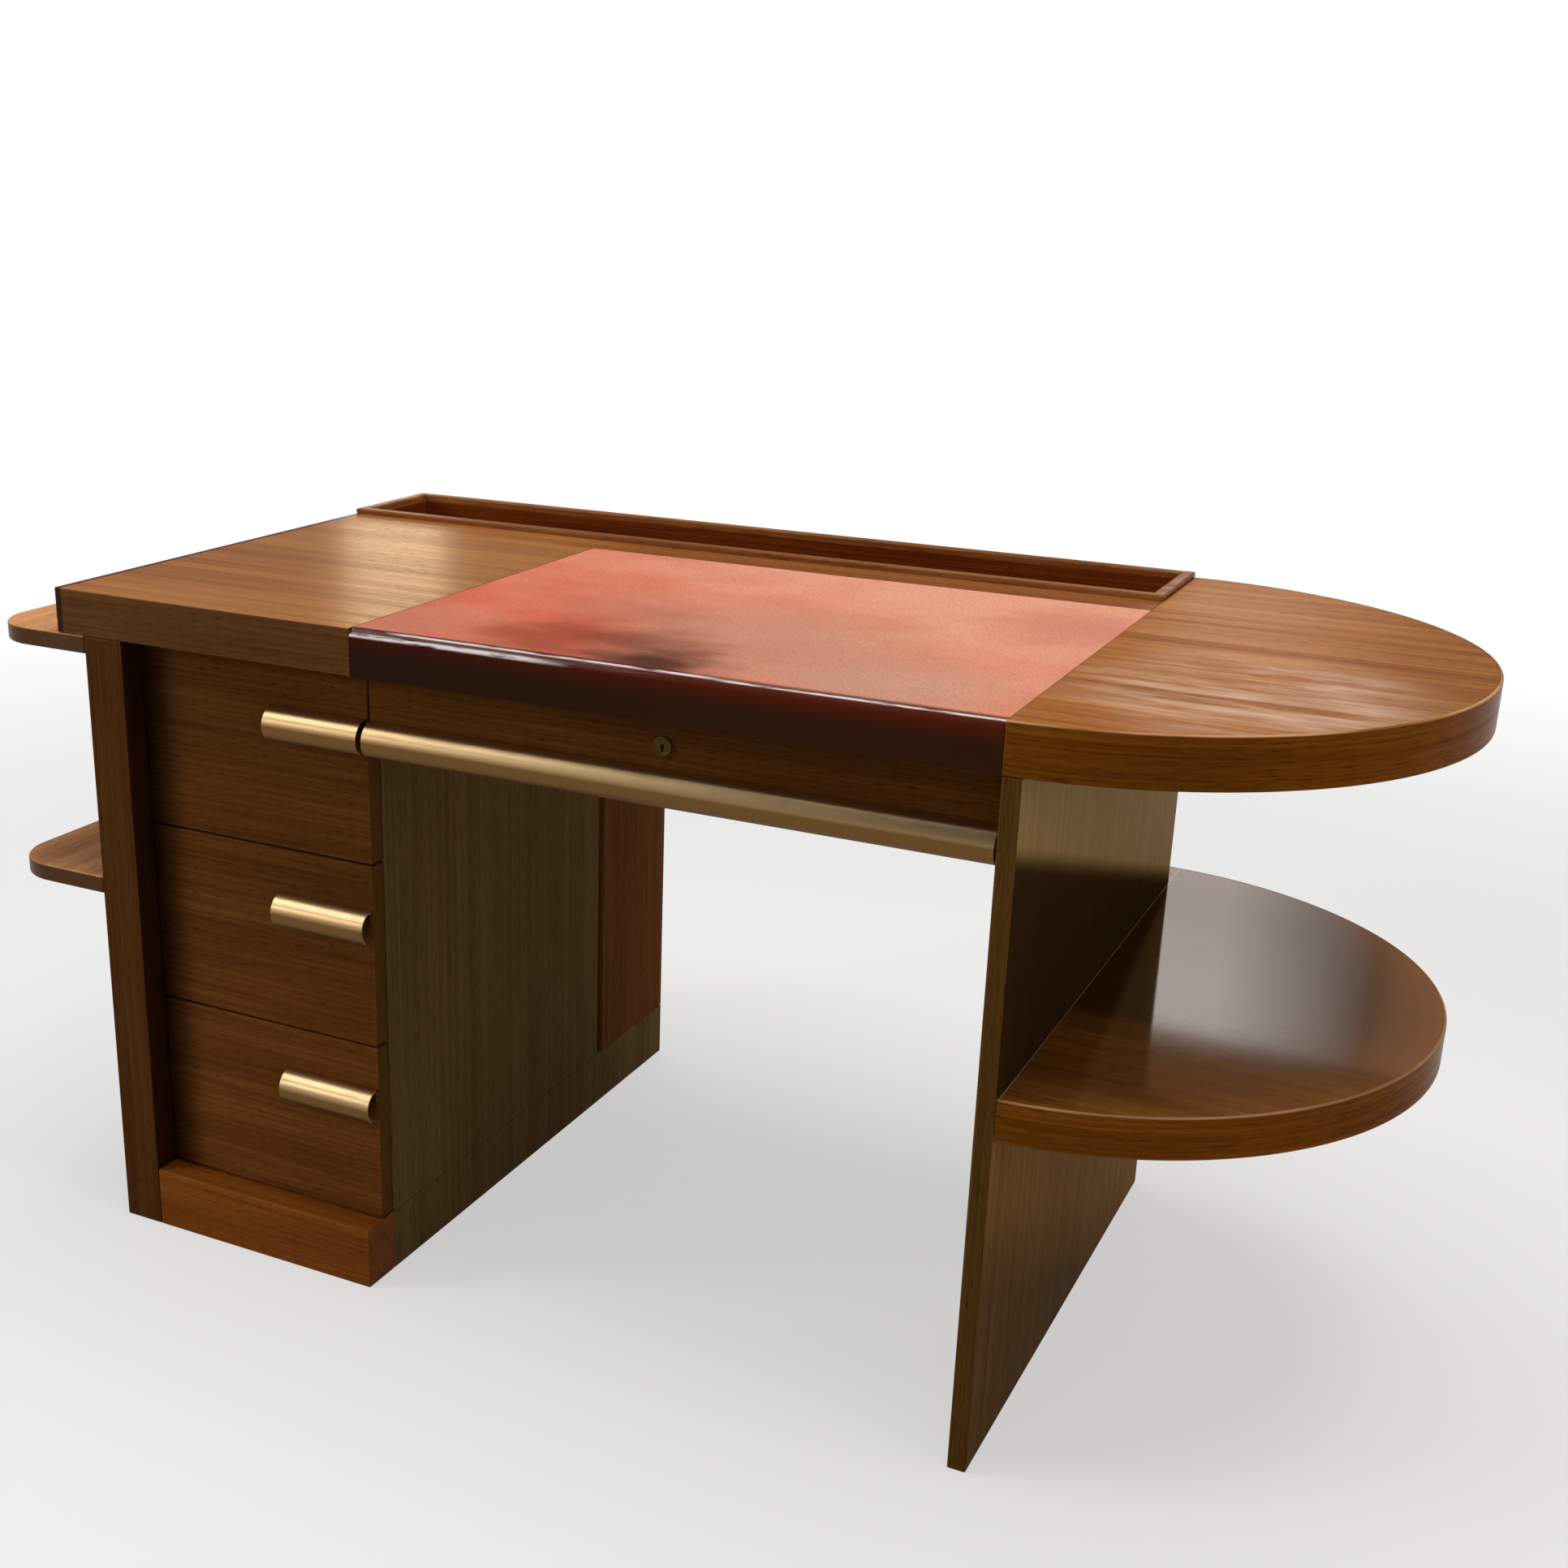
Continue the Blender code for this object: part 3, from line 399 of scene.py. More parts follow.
edge_wood, tree, shader, colour, board = sawn_wood(
    "mahogany_edge_band", "X", EDGE_TONES, gloss=0.012, polish=(0.2, 0.32), **LEVEL_LINES
)
# rubbed arris and painted highlight on the rounded edge
arris = add(tree, "MapRange", {0: facing(tree, "Z"), 1: 0.25, 2: 0.6})
stretches = stretched_noise(tree, board, (180, 180, 180))
handled = add(tree, "MapRange", {0: stretches, 1: 0.36, 2: 0.56, 3: 0.15, 4: 0.95})
rubbed_and_highlight_line = add(tree, "Math", {0: arris, 1: handled}, operation="MULTIPLY")
colour = add(tree, "Mix", {0: rubbed_and_highlight_line, 6: colour, 7: linear("#d6a276")}, data_type="RGBA")
feed(tree, shader, {"Base Color": colour})
print("edge band:", edge_wood.name)

# %% [markdown]
# The left shelves are pale on top, where the light falls, and their edges are painted dark, as dirt and
# painted shade. Again the way that a face looks tells the one from the other, and it does so smoothly over
# the rounded arris.

# %% Left shelves' wood
SHELF_TONES = ("#c88452", "#e29e68", "#f0b682")

level_wood, tree, shader, colour, board = sawn_wood("polished_mahogany_shelves", "Y", SHELF_TONES)
# dirt and painted shade on the faces that stand
upright = add(tree, "MapRange", {0: facing(tree, "Z"), 1: 0.75, 2: 0.35, 4: 0.9})
colour = add(tree, "Mix", {0: upright, 6: colour, 7: linear("#3a2110")}, data_type="RGBA")
feed(tree, shader, {"Base Color": colour})
print("left shelves:", level_wood.name)

# %% [markdown]
# The leg is quarter-sawn. Its outer face carries painted shade and painted reflections. Beside the shelf it
# is painted dark, up to a slanting line that is higher in front than behind. Above that line a pale khaki
# sheen is painted. Below the shelf a pale sheen is painted down to a second slanting line. The height of a
# point plus a share of its place from front to back is the same all along such a line.

# %% Leg
LEG_TONES = ("#5e401b", "#6e4d21", "#7e5c2b")
SHADE_LINE = (0.64, 0.415)   # height of the shade on the leg, in front and behind
SHADE_SOFT = (0.012, 0.018)  # how far its edge is soft, above and below
PALE_SHEEN_LINE = 0.086            # height of the line below the shelf, halfway back
PALE_SHEEN_FALL = 0.47             # its fall for each metre to the back
PALE_SHEEN_SOFT = 0.05

leg_low, leg_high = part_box("right_leg_panel")
shelf_low, shelf_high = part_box("right_shelf")
leg_wood, tree, shader, colour, board = sawn_wood(
    "quarter_sawn_mahogany_leg", "Z", LEG_TONES, gloss=0.001, **QUARTER_SAWN
)
axes = add(tree, "SeparateXYZ", {0: board}).outputs
outer = add(tree, "MapRange", {0: facing(tree, "X"), 1: 0.5, 2: 0.9, 4: 0.8})
below_shelf = add(tree, "MapRange", {0: axes["Z"], 1: shelf_high.z, 2: shelf_low.z})
above_shelf = add(tree, "MapRange", {0: axes["Z"], 1: shelf_low.z, 2: shelf_high.z})
level = add(tree, "Math", {0: axes["Y"], 1: PALE_SHEEN_FALL, 2: axes["Z"]}, operation="MULTIPLY_ADD")
# painted pale sheen below the shelf, down to the second line
painted_pale_sheen = add(tree, "MapRange", {0: level, 1: PALE_SHEEN_LINE - PALE_SHEEN_SOFT, 2: PALE_SHEEN_LINE + PALE_SHEEN_SOFT, 4: 1.15})
painted_pale_sheen = add(tree, "Math", {0: painted_pale_sheen, 1: below_shelf}, operation="MULTIPLY")
painted_pale_sheen = add(tree, "Math", {0: painted_pale_sheen, 1: outer, 2: 0.95}, operation="MULTIPLY_ADD")
colour = add(tree, "VectorMath", {0: colour, "Scale": painted_pale_sheen}, operation="SCALE")

fall = (SHADE_LINE[0] - SHADE_LINE[1]) / (leg_high.y - leg_low.y)
line = SHADE_LINE[0] + leg_low.y * fall
level = add(tree, "Math", {0: axes["Y"], 1: fall, 2: axes["Z"]}, operation="MULTIPLY_ADD")
in_shade = {0: level, 1: line + SHADE_SOFT[0], 2: line - SHADE_SOFT[1]}
in_shade = add(tree, "MapRange", in_shade, interpolation_type="SMOOTHSTEP")
lit = add(tree, "Math", {0: 1.0, 1: in_shade}, operation="SUBTRACT")
# painted sheen: pale khaki above the shade line
painted_sheen = add(tree, "Math", {0: lit, 1: outer}, operation="MULTIPLY")
pale_wood = stretched_noise(tree, board, (4, 4, 300), 3.0)
khaki = {0: pale_wood, 6: linear("#a5844e"), 7: linear("#d8b87c")}
khaki = add(tree, "Mix", khaki, data_type="RGBA")
colour = add(tree, "Mix", {0: painted_sheen, 6: colour, 7: khaki}, data_type="RGBA")
# painted shade beside the shelf, below the shade line
painted_shade_zone = add(tree, "Math", {0: in_shade, 1: above_shelf}, operation="MULTIPLY")
painted_dark_shade = add(tree, "Math", {0: painted_shade_zone, 1: outer}, operation="MULTIPLY")
colour = add(tree, "Mix", {0: painted_dark_shade, 6: colour, 7: linear("#2b1d10")}, data_type="RGBA")
feed(tree, shader, {"Base Color": colour})
print("leg:", leg_wood.name)

# %% [markdown]
# The main top has a solid strip glued to its left end, a lipping, whose grain runs across the board and
# looks darker and redder. It is a matter of place: left of a line, the colour is another one. The narrow
# strip between the leather and the trough is darker too. The front edge of the slab and its other standing
# faces carry painted shade and are as dark as the fronts. There the way that the face looks decides: a face
# that looks up is pale, one that stands is dark.

# %% Main top with its lipping
LIPPING_WIDTH = 0.009
LIPPING_LINE = 0.0006       # breadth of the glue line
STRIP_FADE = 0.08           # the dark strip fades in over this, left and right of the leather's edge
STRIP_SOFT = 0.01

main_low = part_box("main_top")[0]
hide_low, hide_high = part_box("leather_top")
top_wood, tree, shader, colour, board = sawn_wood(
    "polished_mahogany_main_top", "X", TOP_TONES, gloss=0.06, polish=(0.15, 0.26)
)
axes = add(tree, "SeparateXYZ", {0: board}).outputs
line = main_low.x + LIPPING_WIDTH
lipping = add(tree, "MapRange", {0: axes["X"], 1: line, 2: line - LIPPING_LINE})
cross_grain = stretched_noise(tree, board, (4, 160, 4))
strip = {0: cross_grain, 6: linear("#471d0c"), 7: linear("#7a3f20")}
strip = add(tree, "Mix", strip, data_type="RGBA")
colour = add(tree, "Mix", {0: lipping, 6: colour, 7: strip}, data_type="RGBA")
beside = {0: axes["X"], 1: hide_low.x - STRIP_FADE, 2: hide_low.x + STRIP_FADE, 4: 0.6}
beside = add(tree, "MapRange", beside)
behind = add(tree, "MapRange", {0: axes["Y"], 1: hide_high.y - STRIP_SOFT, 2: hide_high.y})
narrow = add(tree, "Math", {0: beside, 1: behind}, operation="MULTIPLY")
colour = add(tree, "Mix", {0: narrow, 6: colour, 7: linear("#74391a")}, data_type="RGBA")
# painted shade on the faces that stand
upright = add(tree, "MapRange", {0: facing(tree, "Z"), 1: 0.7, 2: 0.3, 4: 0.8})
shaded = {0: upright, 6: colour, 7: linear("#70701c")}
shaded = add(tree, "Mix", shaded, data_type="RGBA", blend_type="MULTIPLY")
feed(tree, shader, {"Base Color": shaded})
print("lipping:", LIPPING_WIDTH * 1000, "mm wide")

# %% [markdown]
# Arms and papers have worn the polish of the round end. In the middle of it the wood is pale in soft
# patches that follow the grain, partly dry worn wood and partly a painted sheen. They are drawn as long
# noise inside a wide soft spot. Towards the curved end the board is a little darker.

# %% Worn round end with a painted sheen
round_low, round_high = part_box("d_top")
WORN_SHEEN_SPOT = (round_low.x + 0.168, -0.17, round_high.z)
WORN_SHEEN_REACH = (0.08, 0.20)
WORN_SHEEN_MM = (110, 22, 22)
DARKER_END = (0.6, 0.72)    # to the right, where it starts and where it is full

round_wood, tree, shader, colour, board = sawn_wood("worn_sheened_mahogany_round_end", "X", TOP_TONES, gloss=0.012)
to_right = add(tree, "SeparateXYZ", {0: board}).outputs["X"]
darker = add(tree, "MapRange", {0: to_right, 1: DARKER_END[0], 2: DARKER_END[1], 3: 1.0, 4: 0.82})
colour = add(tree, "VectorMath", {0: colour, "Scale": darker}, operation="SCALE")
away = add(tree, "VectorMath", {0: board, 1: WORN_SHEEN_SPOT}, operation="DISTANCE")
spot = {0: away, 1: WORN_SHEEN_REACH[1], 2: WORN_SHEEN_REACH[0]}
spot = add(tree, "MapRange", spot, interpolation_type="SMOOTHSTEP")
scuffs = stretched_noise(tree, board, WORN_SHEEN_MM, 6.0)
# wear and a painted sheen
dry_and_sheen = add(tree, "MapRange", {0: scuffs, 1: 0.36, 2: 0.72, 4: 0.9})
worn_and_sheen = add(tree, "Math", {0: dry_and_sheen, 1: spot}, operation="MULTIPLY")
colour = add(tree, "Mix", {0: worn_and_sheen, 6: colour, 7: linear("#e2bea4")}, data_type="RGBA")
feed(tree, shader, {"Base Color": colour})
print("worn spot reaches", WORN_SHEEN_REACH[1], "m")

# %% [markdown]
# The lower shelf is polished almost to a mirror. Its front is painted lighter as a painted reflection and
# its right end as painted light, while behind a line it is darker. Fine cracks run along its grain, and old
# glue shows along the leg as a thin pale line. All of that is drawn by place. The mirror itself isn't
# drawn: low roughness gives it, so it moves with the eye as a real one does.

# %% Lower shelf's wood
LOWER_TONES = ("#84501c", "#9a6026", "#b07434")
CRACK_MM = (70, 1.6, 40)
SHADED_FROM = -0.13         # behind this line the shelf is darker; in front of it the colour is a painted reflection
SHADED_SOFT = 0.02
LIT_END = (0.6, 0.72)     # to the right, where it starts and where it is full
GLUE_MIDDLE = 0.0012        # of the line of glue, from the leg
GLUE_REACH = (0.0015, 0.0008)

shelf_wood, tree, shader, colour, board = sawn_wood(
    "polished_mahogany_lower_shelf", "X", LOWER_TONES, gloss=0.3, polish=(0.05, 0.07), depth=0.012
)
cracks = stretched_noise(tree, board, CRACK_MM)
crack = add(tree, "MapRange", {0: cracks, 1: 0.68, 2: 0.74, 4: 0.8})
colour = add(tree, "Mix", {0: crack, 6: colour, 7: linear("#1a0c06")}, data_type="RGBA")
axes = add(tree, "SeparateXYZ", {0: board}).outputs
# painted reflection in front of the line, darker wood behind it
behind = {0: axes["Y"], 1: SHADED_FROM - SHADED_SOFT, 2: SHADED_FROM + SHADED_SOFT, 4: 0.85}
behind = add(tree, "MapRange", behind, interpolation_type="SMOOTHSTEP")
# painted light towards the right end
to_end = add(tree, "MapRange", {0: axes["X"], 1: LIT_END[0], 2: LIT_END[1]})
dark_with_lit_end = {0: to_end, 6: linear("#4a2a12"), 7: linear("#b8772e")}
dark_with_lit_end = add(tree, "Mix", dark_with_lit_end, data_type="RGBA")
colour = add(tree, "Mix", {0: behind, 6: colour, 7: dark_with_lit_end}, data_type="RGBA")
off_joint = add(tree, "Math", {0: axes["X"], 1: leg_high.x + GLUE_MIDDLE}, operation="SUBTRACT")
off_joint = add(tree, "Math", {0: off_joint}, operation="ABSOLUTE")
joint = add(tree, "MapRange", {0: off_joint, 1: GLUE_REACH[0], 2: GLUE_REACH[1], 4: 0.7})
colour = add(tree, "Mix", {0: joint, 6: colour, 7: linear("#c9ab84")}, data_type="RGBA")
feed(tree, shader, {"Base Color": colour})
print("lower shelf:", shelf_wood.name)

# %% [markdown]
# ## Leather
# The writing panel is cowhide, dyed red and waxed, stretched over the top and round its front nose. Light
# has faded the back and the right to salmon. Hands and ink have left marks, and the pale grey-tan ones are
# partly a painted sheen. The marks are soft spots with a ragged outline: noise is added to the distance
# from the middle of each.

# %% Red leather
MARKS_AND_SHEEN = (   # middle from the left and from the front, reach, strength, colour
    # the pale grey-tan marks are partly a painted sheen
    (0.37, 0.16, 0.25, 0.6, "#c4927a"),
    (0.02, 0.05, 0.15, 0.45, "#c4927a"),
    (0.64, 0.38, 0.14, 0.9, "#de8e76"),
    (0.55, 0.06, 0.16, 0.7, "#cf9f86"),
    (0.20, 0.07, 0.12, 0.75, "#9c3f28"),
    (0.20, 0.23, 0.12, 0.3, "#a05a46"),
    (0.29, 0.10, 0.10, 0.55, "#70402f"),
    (0.33, 0.02, 0.10, 0.9, "#43201a"),
)
MARK_RAGGED = 0.09          # how far the outline of a mark strays
FADE_START = 0.12           # from the front
FADE_END = 0.2              # from the right

leather, tree, shader = start_finish("waxed_red_cowhide")
place = add(tree, "TexCoord").outputs["Object"]
axes = add(tree, "SeparateXYZ", {0: place}).outputs
patches = stretched_noise(tree, place, (150, 110, 110), 4.0)
to_right = add(tree, "MapRange", {0: axes["X"], 1: hide_low.x, 2: hide_high.x - FADE_END, 4: 0.65})
to_back = add(tree, "MapRange", {0: axes["Y"], 1: hide_low.y + FADE_START, 2: hide_high.y, 4: 0.5})
uneven = add(tree, "Math", {0: patches, 1: 1.3, 2: -0.65}, operation="MULTIPLY_ADD")
faded = add(tree, "Math", {0: to_right, 1: to_back}, operation="ADD")
fade = add(tree, "Math", {0: faded, 1: uneven}, operation="ADD", use_clamp=True)
colour = {0: fade, 6: linear("#dc664c"), 7: linear("#f3aa8a")}
colour = add(tree, "Mix", colour, data_type="RGBA")
smudges = stretched_noise(tree, place, (60, 40, 40), 4.0)
stray = {0: smudges, 1: MARK_RAGGED, 2: -MARK_RAGGED / 2}
stray = add(tree, "Math", stray, operation="MULTIPLY_ADD")
for from_left, from_front, reach, strength, tone in MARKS_AND_SHEEN:
    middle = (hide_low.x + from_left, hide_low.y + from_front, hide_high.z)
    off_mark = add(tree, "VectorMath", {0: place, 1: middle}, operation="DISTANCE")
    off_mark = add(tree, "Math", {0: off_mark, 1: stray})
    mark = {0: off_mark, 1: reach, 2: reach / 6, 4: strength}
    mark = add(tree, "MapRange", mark, interpolation_type="SMOOTHSTEP")
    colour = add(tree, "Mix", {0: mark, 6: colour, 7: linear(tone)}, data_type="RGBA")
print("marks on the leather:", len(MARKS_AND_SHEEN))

# %% [markdown]
# The nose is painted deep maroon on the roll and nearly brown where it is drawn down the front, as painted
# shade. A hide has a pebbled grain of about 1.6 mm, and the cells of a Voronoi texture give its fine dark
# creases.

# %% Nose of the leather
HIDE_GRAIN_MM = 1.6
NOSE_RADIUS = 0.010
NOSE_SOFT = 0.004
ROLL_SOFT = 0.014

nose_line = hide_low.y + NOSE_RADIUS
roll_height = hide_high.z - NOSE_RADIUS
nose = add(tree, "MapRange", {0: axes["Y"], 1: nose_line + NOSE_SOFT, 2: nose_line - NOSE_SOFT})
under = add(tree, "MapRange", {0: axes["Z"], 1: roll_height, 2: roll_height - ROLL_SOFT})
# painted shade on the roll and on the front of the nose
red_roll = {0: to_right, 6: linear("#481a10"), 7: linear("#6e2c16")}
red_roll = add(tree, "Mix", red_roll, data_type="RGBA")
brown_face = {0: to_right, 6: linear("#241a0d"), 7: linear("#402710")}
brown_face = add(tree, "Mix", brown_face, data_type="RGBA")
maroon = add(tree, "Mix", {0: under, 6: red_roll, 7: brown_face}, data_type="RGBA")
colour = add(tree, "Mix", {0: nose, 6: colour, 7: maroon}, data_type="RGBA")
cells = add(tree, "TexVoronoi", {"Vector": place, "Scale": 1000 / HIDE_GRAIN_MM})
crease = add(tree, "MapRange", {0: cells, 1: 0.25, 2: 0.75, 4: 0.28})
colour = add(tree, "Mix", {0: crease, 6: colour, 7: linear("#5a201a")}, data_type="RGBA")
print("nose:", NOSE_RADIUS * 1000, "mm round, hide grain:", HIDE_GRAIN_MM, "mm")

# %% [markdown]
# Pale lines along the roll are a painted highlight, in long broken lines. How high a point is on the roll
# gives its angle there, a line is a narrow range of angles, and thin noise breaks it up.

# %% Painted highlight lines along the roll
HIGHLIGHT_LINES = (   # angle on the roll above the level, half its width, start and end from the left
    (math.radians(22), math.radians(17), 0.0, 0.26),
    (math.radians(66), math.radians(15), 0.06, 0.44),
    (math.radians(58), math.radians(10), 0.42, hide_high.x - hide_low.x + 0.06),
)
LINE_FADE = 0.06

lift = add(tree, "MapRange", {0: axes["Z"], 1: roll_height, 2: hide_high.z})
angle = add(tree, "Math", {0: lift}, operation="ARCSINE")
broken = stretched_noise(tree, place, (38, 3, 3), 3.0)
left_over = add(tree, "MapRange", {0: broken, 1: 0.34, 2: 0.5})
painted_highlight_lines = 0.0
for line_angle, line_width, line_start, line_end in HIGHLIGHT_LINES:
    off_line = add(tree, "Math", {0: angle, 1: line_angle}, operation="SUBTRACT")
    off_line = add(tree, "Math", {0: off_line}, operation="ABSOLUTE")
    on_line = add(tree, "MapRange", {0: off_line, 1: line_width, 2: line_width / 3})
    start_x, end_x = hide_low.x + line_start, hide_low.x + line_end
    begun = add(tree, "MapRange", {0: axes["X"], 1: start_x - LINE_FADE / 3, 2: start_x})
    ended = add(tree, "MapRange", {0: axes["X"], 1: end_x, 2: end_x - LINE_FADE})
    stretch = add(tree, "Math", {0: begun, 1: ended}, operation="MULTIPLY")
    line = add(tree, "Math", {0: on_line, 1: stretch}, operation="MULTIPLY")
    painted_highlight_lines = add(tree, "Math", {0: line, 1: painted_highlight_lines}, operation="MAXIMUM")
# painted highlight along the roll
pale = add(tree, "Math", {0: painted_highlight_lines, 1: left_over}, operation="MULTIPLY")
pale = add(tree, "Math", {0: pale, 1: nose}, operation="MULTIPLY")
colour = add(tree, "Mix", {0: pale, 6: colour, 7: linear("#f2e4e2")}, data_type="RGBA")
print("rubbed lines:", len(HIGHLIGHT_LINES))

# %% [markdown]
# Waxed leather is dull where it lies flat. On the upper half of the roll hands have glazed it, in patches,
# and a clear coat on the shader gives that shine.

# %% Grain and glaze of the leather
HIDE_RELIEF = 0.0005

bump = add(tree, "Bump", {"Strength": 0.35, "Distance": HIDE_RELIEF, "Height": cells}, invert=True)
rubbed = stretched_noise(tree, place, (120, 8, 8), 3.0)
glazed = add(tree, "MapRange", {0: rubbed, 1: 0.3, 2: 0.55})
rolled = add(tree, "MapRange", {0: facing(tree, "Z"), 1: 0.3, 2: 0.55})
roll = add(tree, "Math", {0: nose, 1: rolled}, operation="MULTIPLY")
glaze = add(tree, "Math", {0: roll, 1: glazed}, operation="MULTIPLY")
feed(tree, shader, {"Base Color": colour, "Normal": bump, "Coat Weight": glaze})
feed(tree, shader, {"Coat Roughness": 0.14, "Roughness": 0.5, "Specular IOR Level": 0.03})
print("leather:", leather.name)

# %% [markdown]
# ## Brass, steel and drawer lining
# The pulls are sheet brass, polished once and now toned: warm and bright where hands touch them, brown in
# patches. Faces that look down are painted darker still, as a painted dark reflection. Fine scratches run
# round the bend, as noise that is thin along the pull. The lock case is plain steel, and the same steps
# with greyer tones give it. Drawer boxes are oak, which is pale, open-pored and left with a thin coat only,
# so it is the wood above with other tones and a rougher face.

# %% Brass, steel and oak
SCRATCH_MM = (0.7, 30, 30)
SCRATCH_RELIEF = 0.0003
OAK_TONES = ("#8a6238", "#a67c4c", "#bd9663")
OAK_GRAIN = {"streak": (110, 1.8, 1.8), "band": (500, 12, 12)}
THIN_COAT = {"gloss": 0.2, "polish": (0.5, 0.62), "worn": 0.2}


def sheet_metal(name, bright, toned, roughness):
    """Toned sheet metal with scratches that run round the bend, painted darker on faces that look down as a
    painted dark reflection.
    """
    made, tree, shader = start_finish(name)
    place = add(tree, "TexCoord").outputs["Object"]
    patches = stretched_noise(tree, place, (60, 20, 20), 4.0)
    tarnish = add(tree, "MapRange", {0: patches, 1: 0.45, 2: 0.75, 4: 0.45})
    # painted dark reflection on faces that look down
    below = add(tree, "MapRange", {0: facing(tree, "Z"), 1: 0.6, 2: 0.05, 4: 0.95})
    tarnish_and_dark_reflection = add(tree, "Math", {0: tarnish, 1: below}, operation="MAXIMUM")
    colour = add(tree, "Mix", {0: tarnish_and_dark_reflection, 6: linear(bright), 7: linear(toned)}, data_type="RGBA")
    scratches = stretched_noise(tree, place, SCRATCH_MM, 3.0)
    bump = add(tree, "Bump", {"Strength": 0.08, "Distance": SCRATCH_RELIEF, "Height": scratches})
    rough = add(tree, "MapRange", {0: tarnish_and_dark_reflection, 3: roughness[0], 4: roughness[1]})
    feed(tree, shader, {"Base Color": colour, "Normal": bump, "Roughness": rough, "Metallic": 1.0})
    return made


pull_brass = sheet_metal("toned_sheet_brass", "#dfbd8c", "#64451d", (0.33, 0.42))
plate_brass = sheet_metal("dull_cast_brass", "#6e5527", "#463416", (0.4, 0.55))
steel = sheet_metal("brushed_lock_steel", "#8b8a86", "#5c5a56", (0.34, 0.46))
oak = sawn_wood("limed_oak_lining", "Y", OAK_TONES, **OAK_GRAIN, **THIN_COAT)[0]
oak_across = sawn_wood("limed_oak_lining_across", "X", OAK_TONES, **OAK_GRAIN, **THIN_COAT)[0]
print("fittings and lining:", [made.name for made in (pull_brass, plate_brass, steel, oak, oak_across)])

# %% [markdown]
# ## Finishes for the straight boards
# A board with straight edges is already right as a solid, so it only changes its finish. The name of a
# piece says where it goes.

# %% Boards that keep their solids
DRAWERS = ("bottom_drawer", "middle_drawer", "top_drawer", "centre_drawer")
board_finish = {
    "main_top": top_wood,
    "left_side_panel": post_wood,
    "inner_side_panel": upright_wood,
    "rear_side_panel": red_upright_wood,
    "pedestal_rear_panel": red_upright_wood,
    "right_leg_panel": leg_wood,
    "plinth_front": plinth_wood,
    "plinth_side": upright_wood,
    "plinth_rear": front_wood,
    "pedestal_floor": oak,
    "drawer_bay_back": oak_across,
    "trough_front_wall": trough_wood,
    "trough_back_wall": trough_wood,
    "trough_left_end": trough_end_wood,
    "trough_right_end": trough_end_wood,
    "trough_floor": trough_wood,
    "lock_case": steel,
    "lock_bolt": plate_brass,
}
for drawer in DRAWERS:
    board_finish[f"{drawer}_front"] = front_wood
    board_finish[f"{drawer}_back"] = oak_across
    for role in ("left_side", "right_side", "bottom", "left_runner", "right_runner"):
        board_finish[f"{drawer}_{role}"] = oak
for name, finish in board_finish.items():
    nodes[name].material_slots[0].material = finish
print("boards with a new finish:", len(board_finish))

# %% [markdown]
# ## Modelling by hand
# The round and soft pieces are made as by hand in edit mode: add a primitive, pick some of its faces or
# edges, then extrude, spin, inset or bevel them. An operator works on whatever is selected, so each
# piece starts with nothing else selected, and its parts are picked by where they are.

# %% Helpers for the start and the selection
MERGE_WITHIN = 0.00001


def begin(name, add_primitive, stretch=(1, 1, 1), **settings):
    """Adds a primitive alone, stretches it, puts its place into its mesh and opens it for editing."""
    bpy.ops.object.select_all(action="DESELECT")
    add_primitive(**settings)
    piece = bpy.context.object
    piece.name = piece.data.name = name
    piece.scale = stretch
    bpy.ops.object.transform_apply(location=True, rotation=True, scale=True)
    bpy.ops.object.mode_set(mode="EDIT")
    return piece


def begin_block(name, low, high):
    """Begins with a cube that reaches from one corner to the opposite one."""
    cube = bpy.ops.mesh.primitive_cube_add
    return begin(name, cube, size=1, location=(low + high) / 2, stretch=high - low)


def pick(kind, wanted):
    """Selects the vertices, edges or faces of the open piece for which wanted says yes."""
    bpy.ops.mesh.select_mode(type=kind)
    bpy.ops.mesh.select_all(action="DESELECT")
    shape = bmesh.from_edit_mesh(bpy.context.edit_object.data)
    items = {"VERT": shape.verts, "EDGE": shape.edges, "FACE": shape.faces}[kind]
    for item in items:
        if wanted(item):
            item.select_set(True)
    bmesh.update_edit_mesh(bpy.context.edit_object.data)


def close_up():
    """Merges doubles, turns all faces outwards and leaves edit mode."""
    bpy.ops.mesh.select_all(action="SELECT")
    bpy.ops.mesh.remove_doubles(threshold=MERGE_WITHIN)
    bpy.ops.mesh.normals_make_consistent(inside=False)
    bpy.ops.object.mode_set(mode="OBJECT")


def take(piece):
    """Selects one piece alone."""
    bpy.ops.object.select_all(action="DESELECT")
    piece.select_set(True)
    bpy.context.view_layer.objects.active = piece


print("solids left to model again:", len(nodes) - len(board_finish))

# %% [markdown]
# Modifiers then ease the sharp edges and cut holes, and each is applied at once. At the end a piece is tied
# to the body that it moves with.

# %% Helpers for the finish
def modify(piece, kind, **settings):
    """Adds a modifier with its settings and applies it."""
    change = piece.modifiers.new(kind.lower(), kind)
    for name, value in settings.items():
        setattr(change, name, value)
    bpy.ops.object.modifier_apply(modifier=change.name)


def ease(piece, width, segments, sharper_than=40):
    """Takes off the edges that are sharper than an angle in degrees."""
    limit = math.radians(sharper_than)
    modify(piece, "BEVEL", width=width, segments=segments, limit_method="ANGLE", angle_limit=limit)


def cut_away(piece, cutter):
    """Cuts the shape of another piece out of a piece and removes the cutter."""
    close_up()
    take(piece)
    modify(piece, "BOOLEAN", object=cutter, operation="DIFFERENCE")
    bpy.data.objects.remove(cutter)


def shade(piece, degrees=35):
    """Smooth over the rounded edges, with the flat faces kept flat."""
    bpy.ops.object.shade_smooth_by_angle(angle=math.radians(degrees))
    modify(piece, "WEIGHTED_NORMAL", keep_sharp=True)


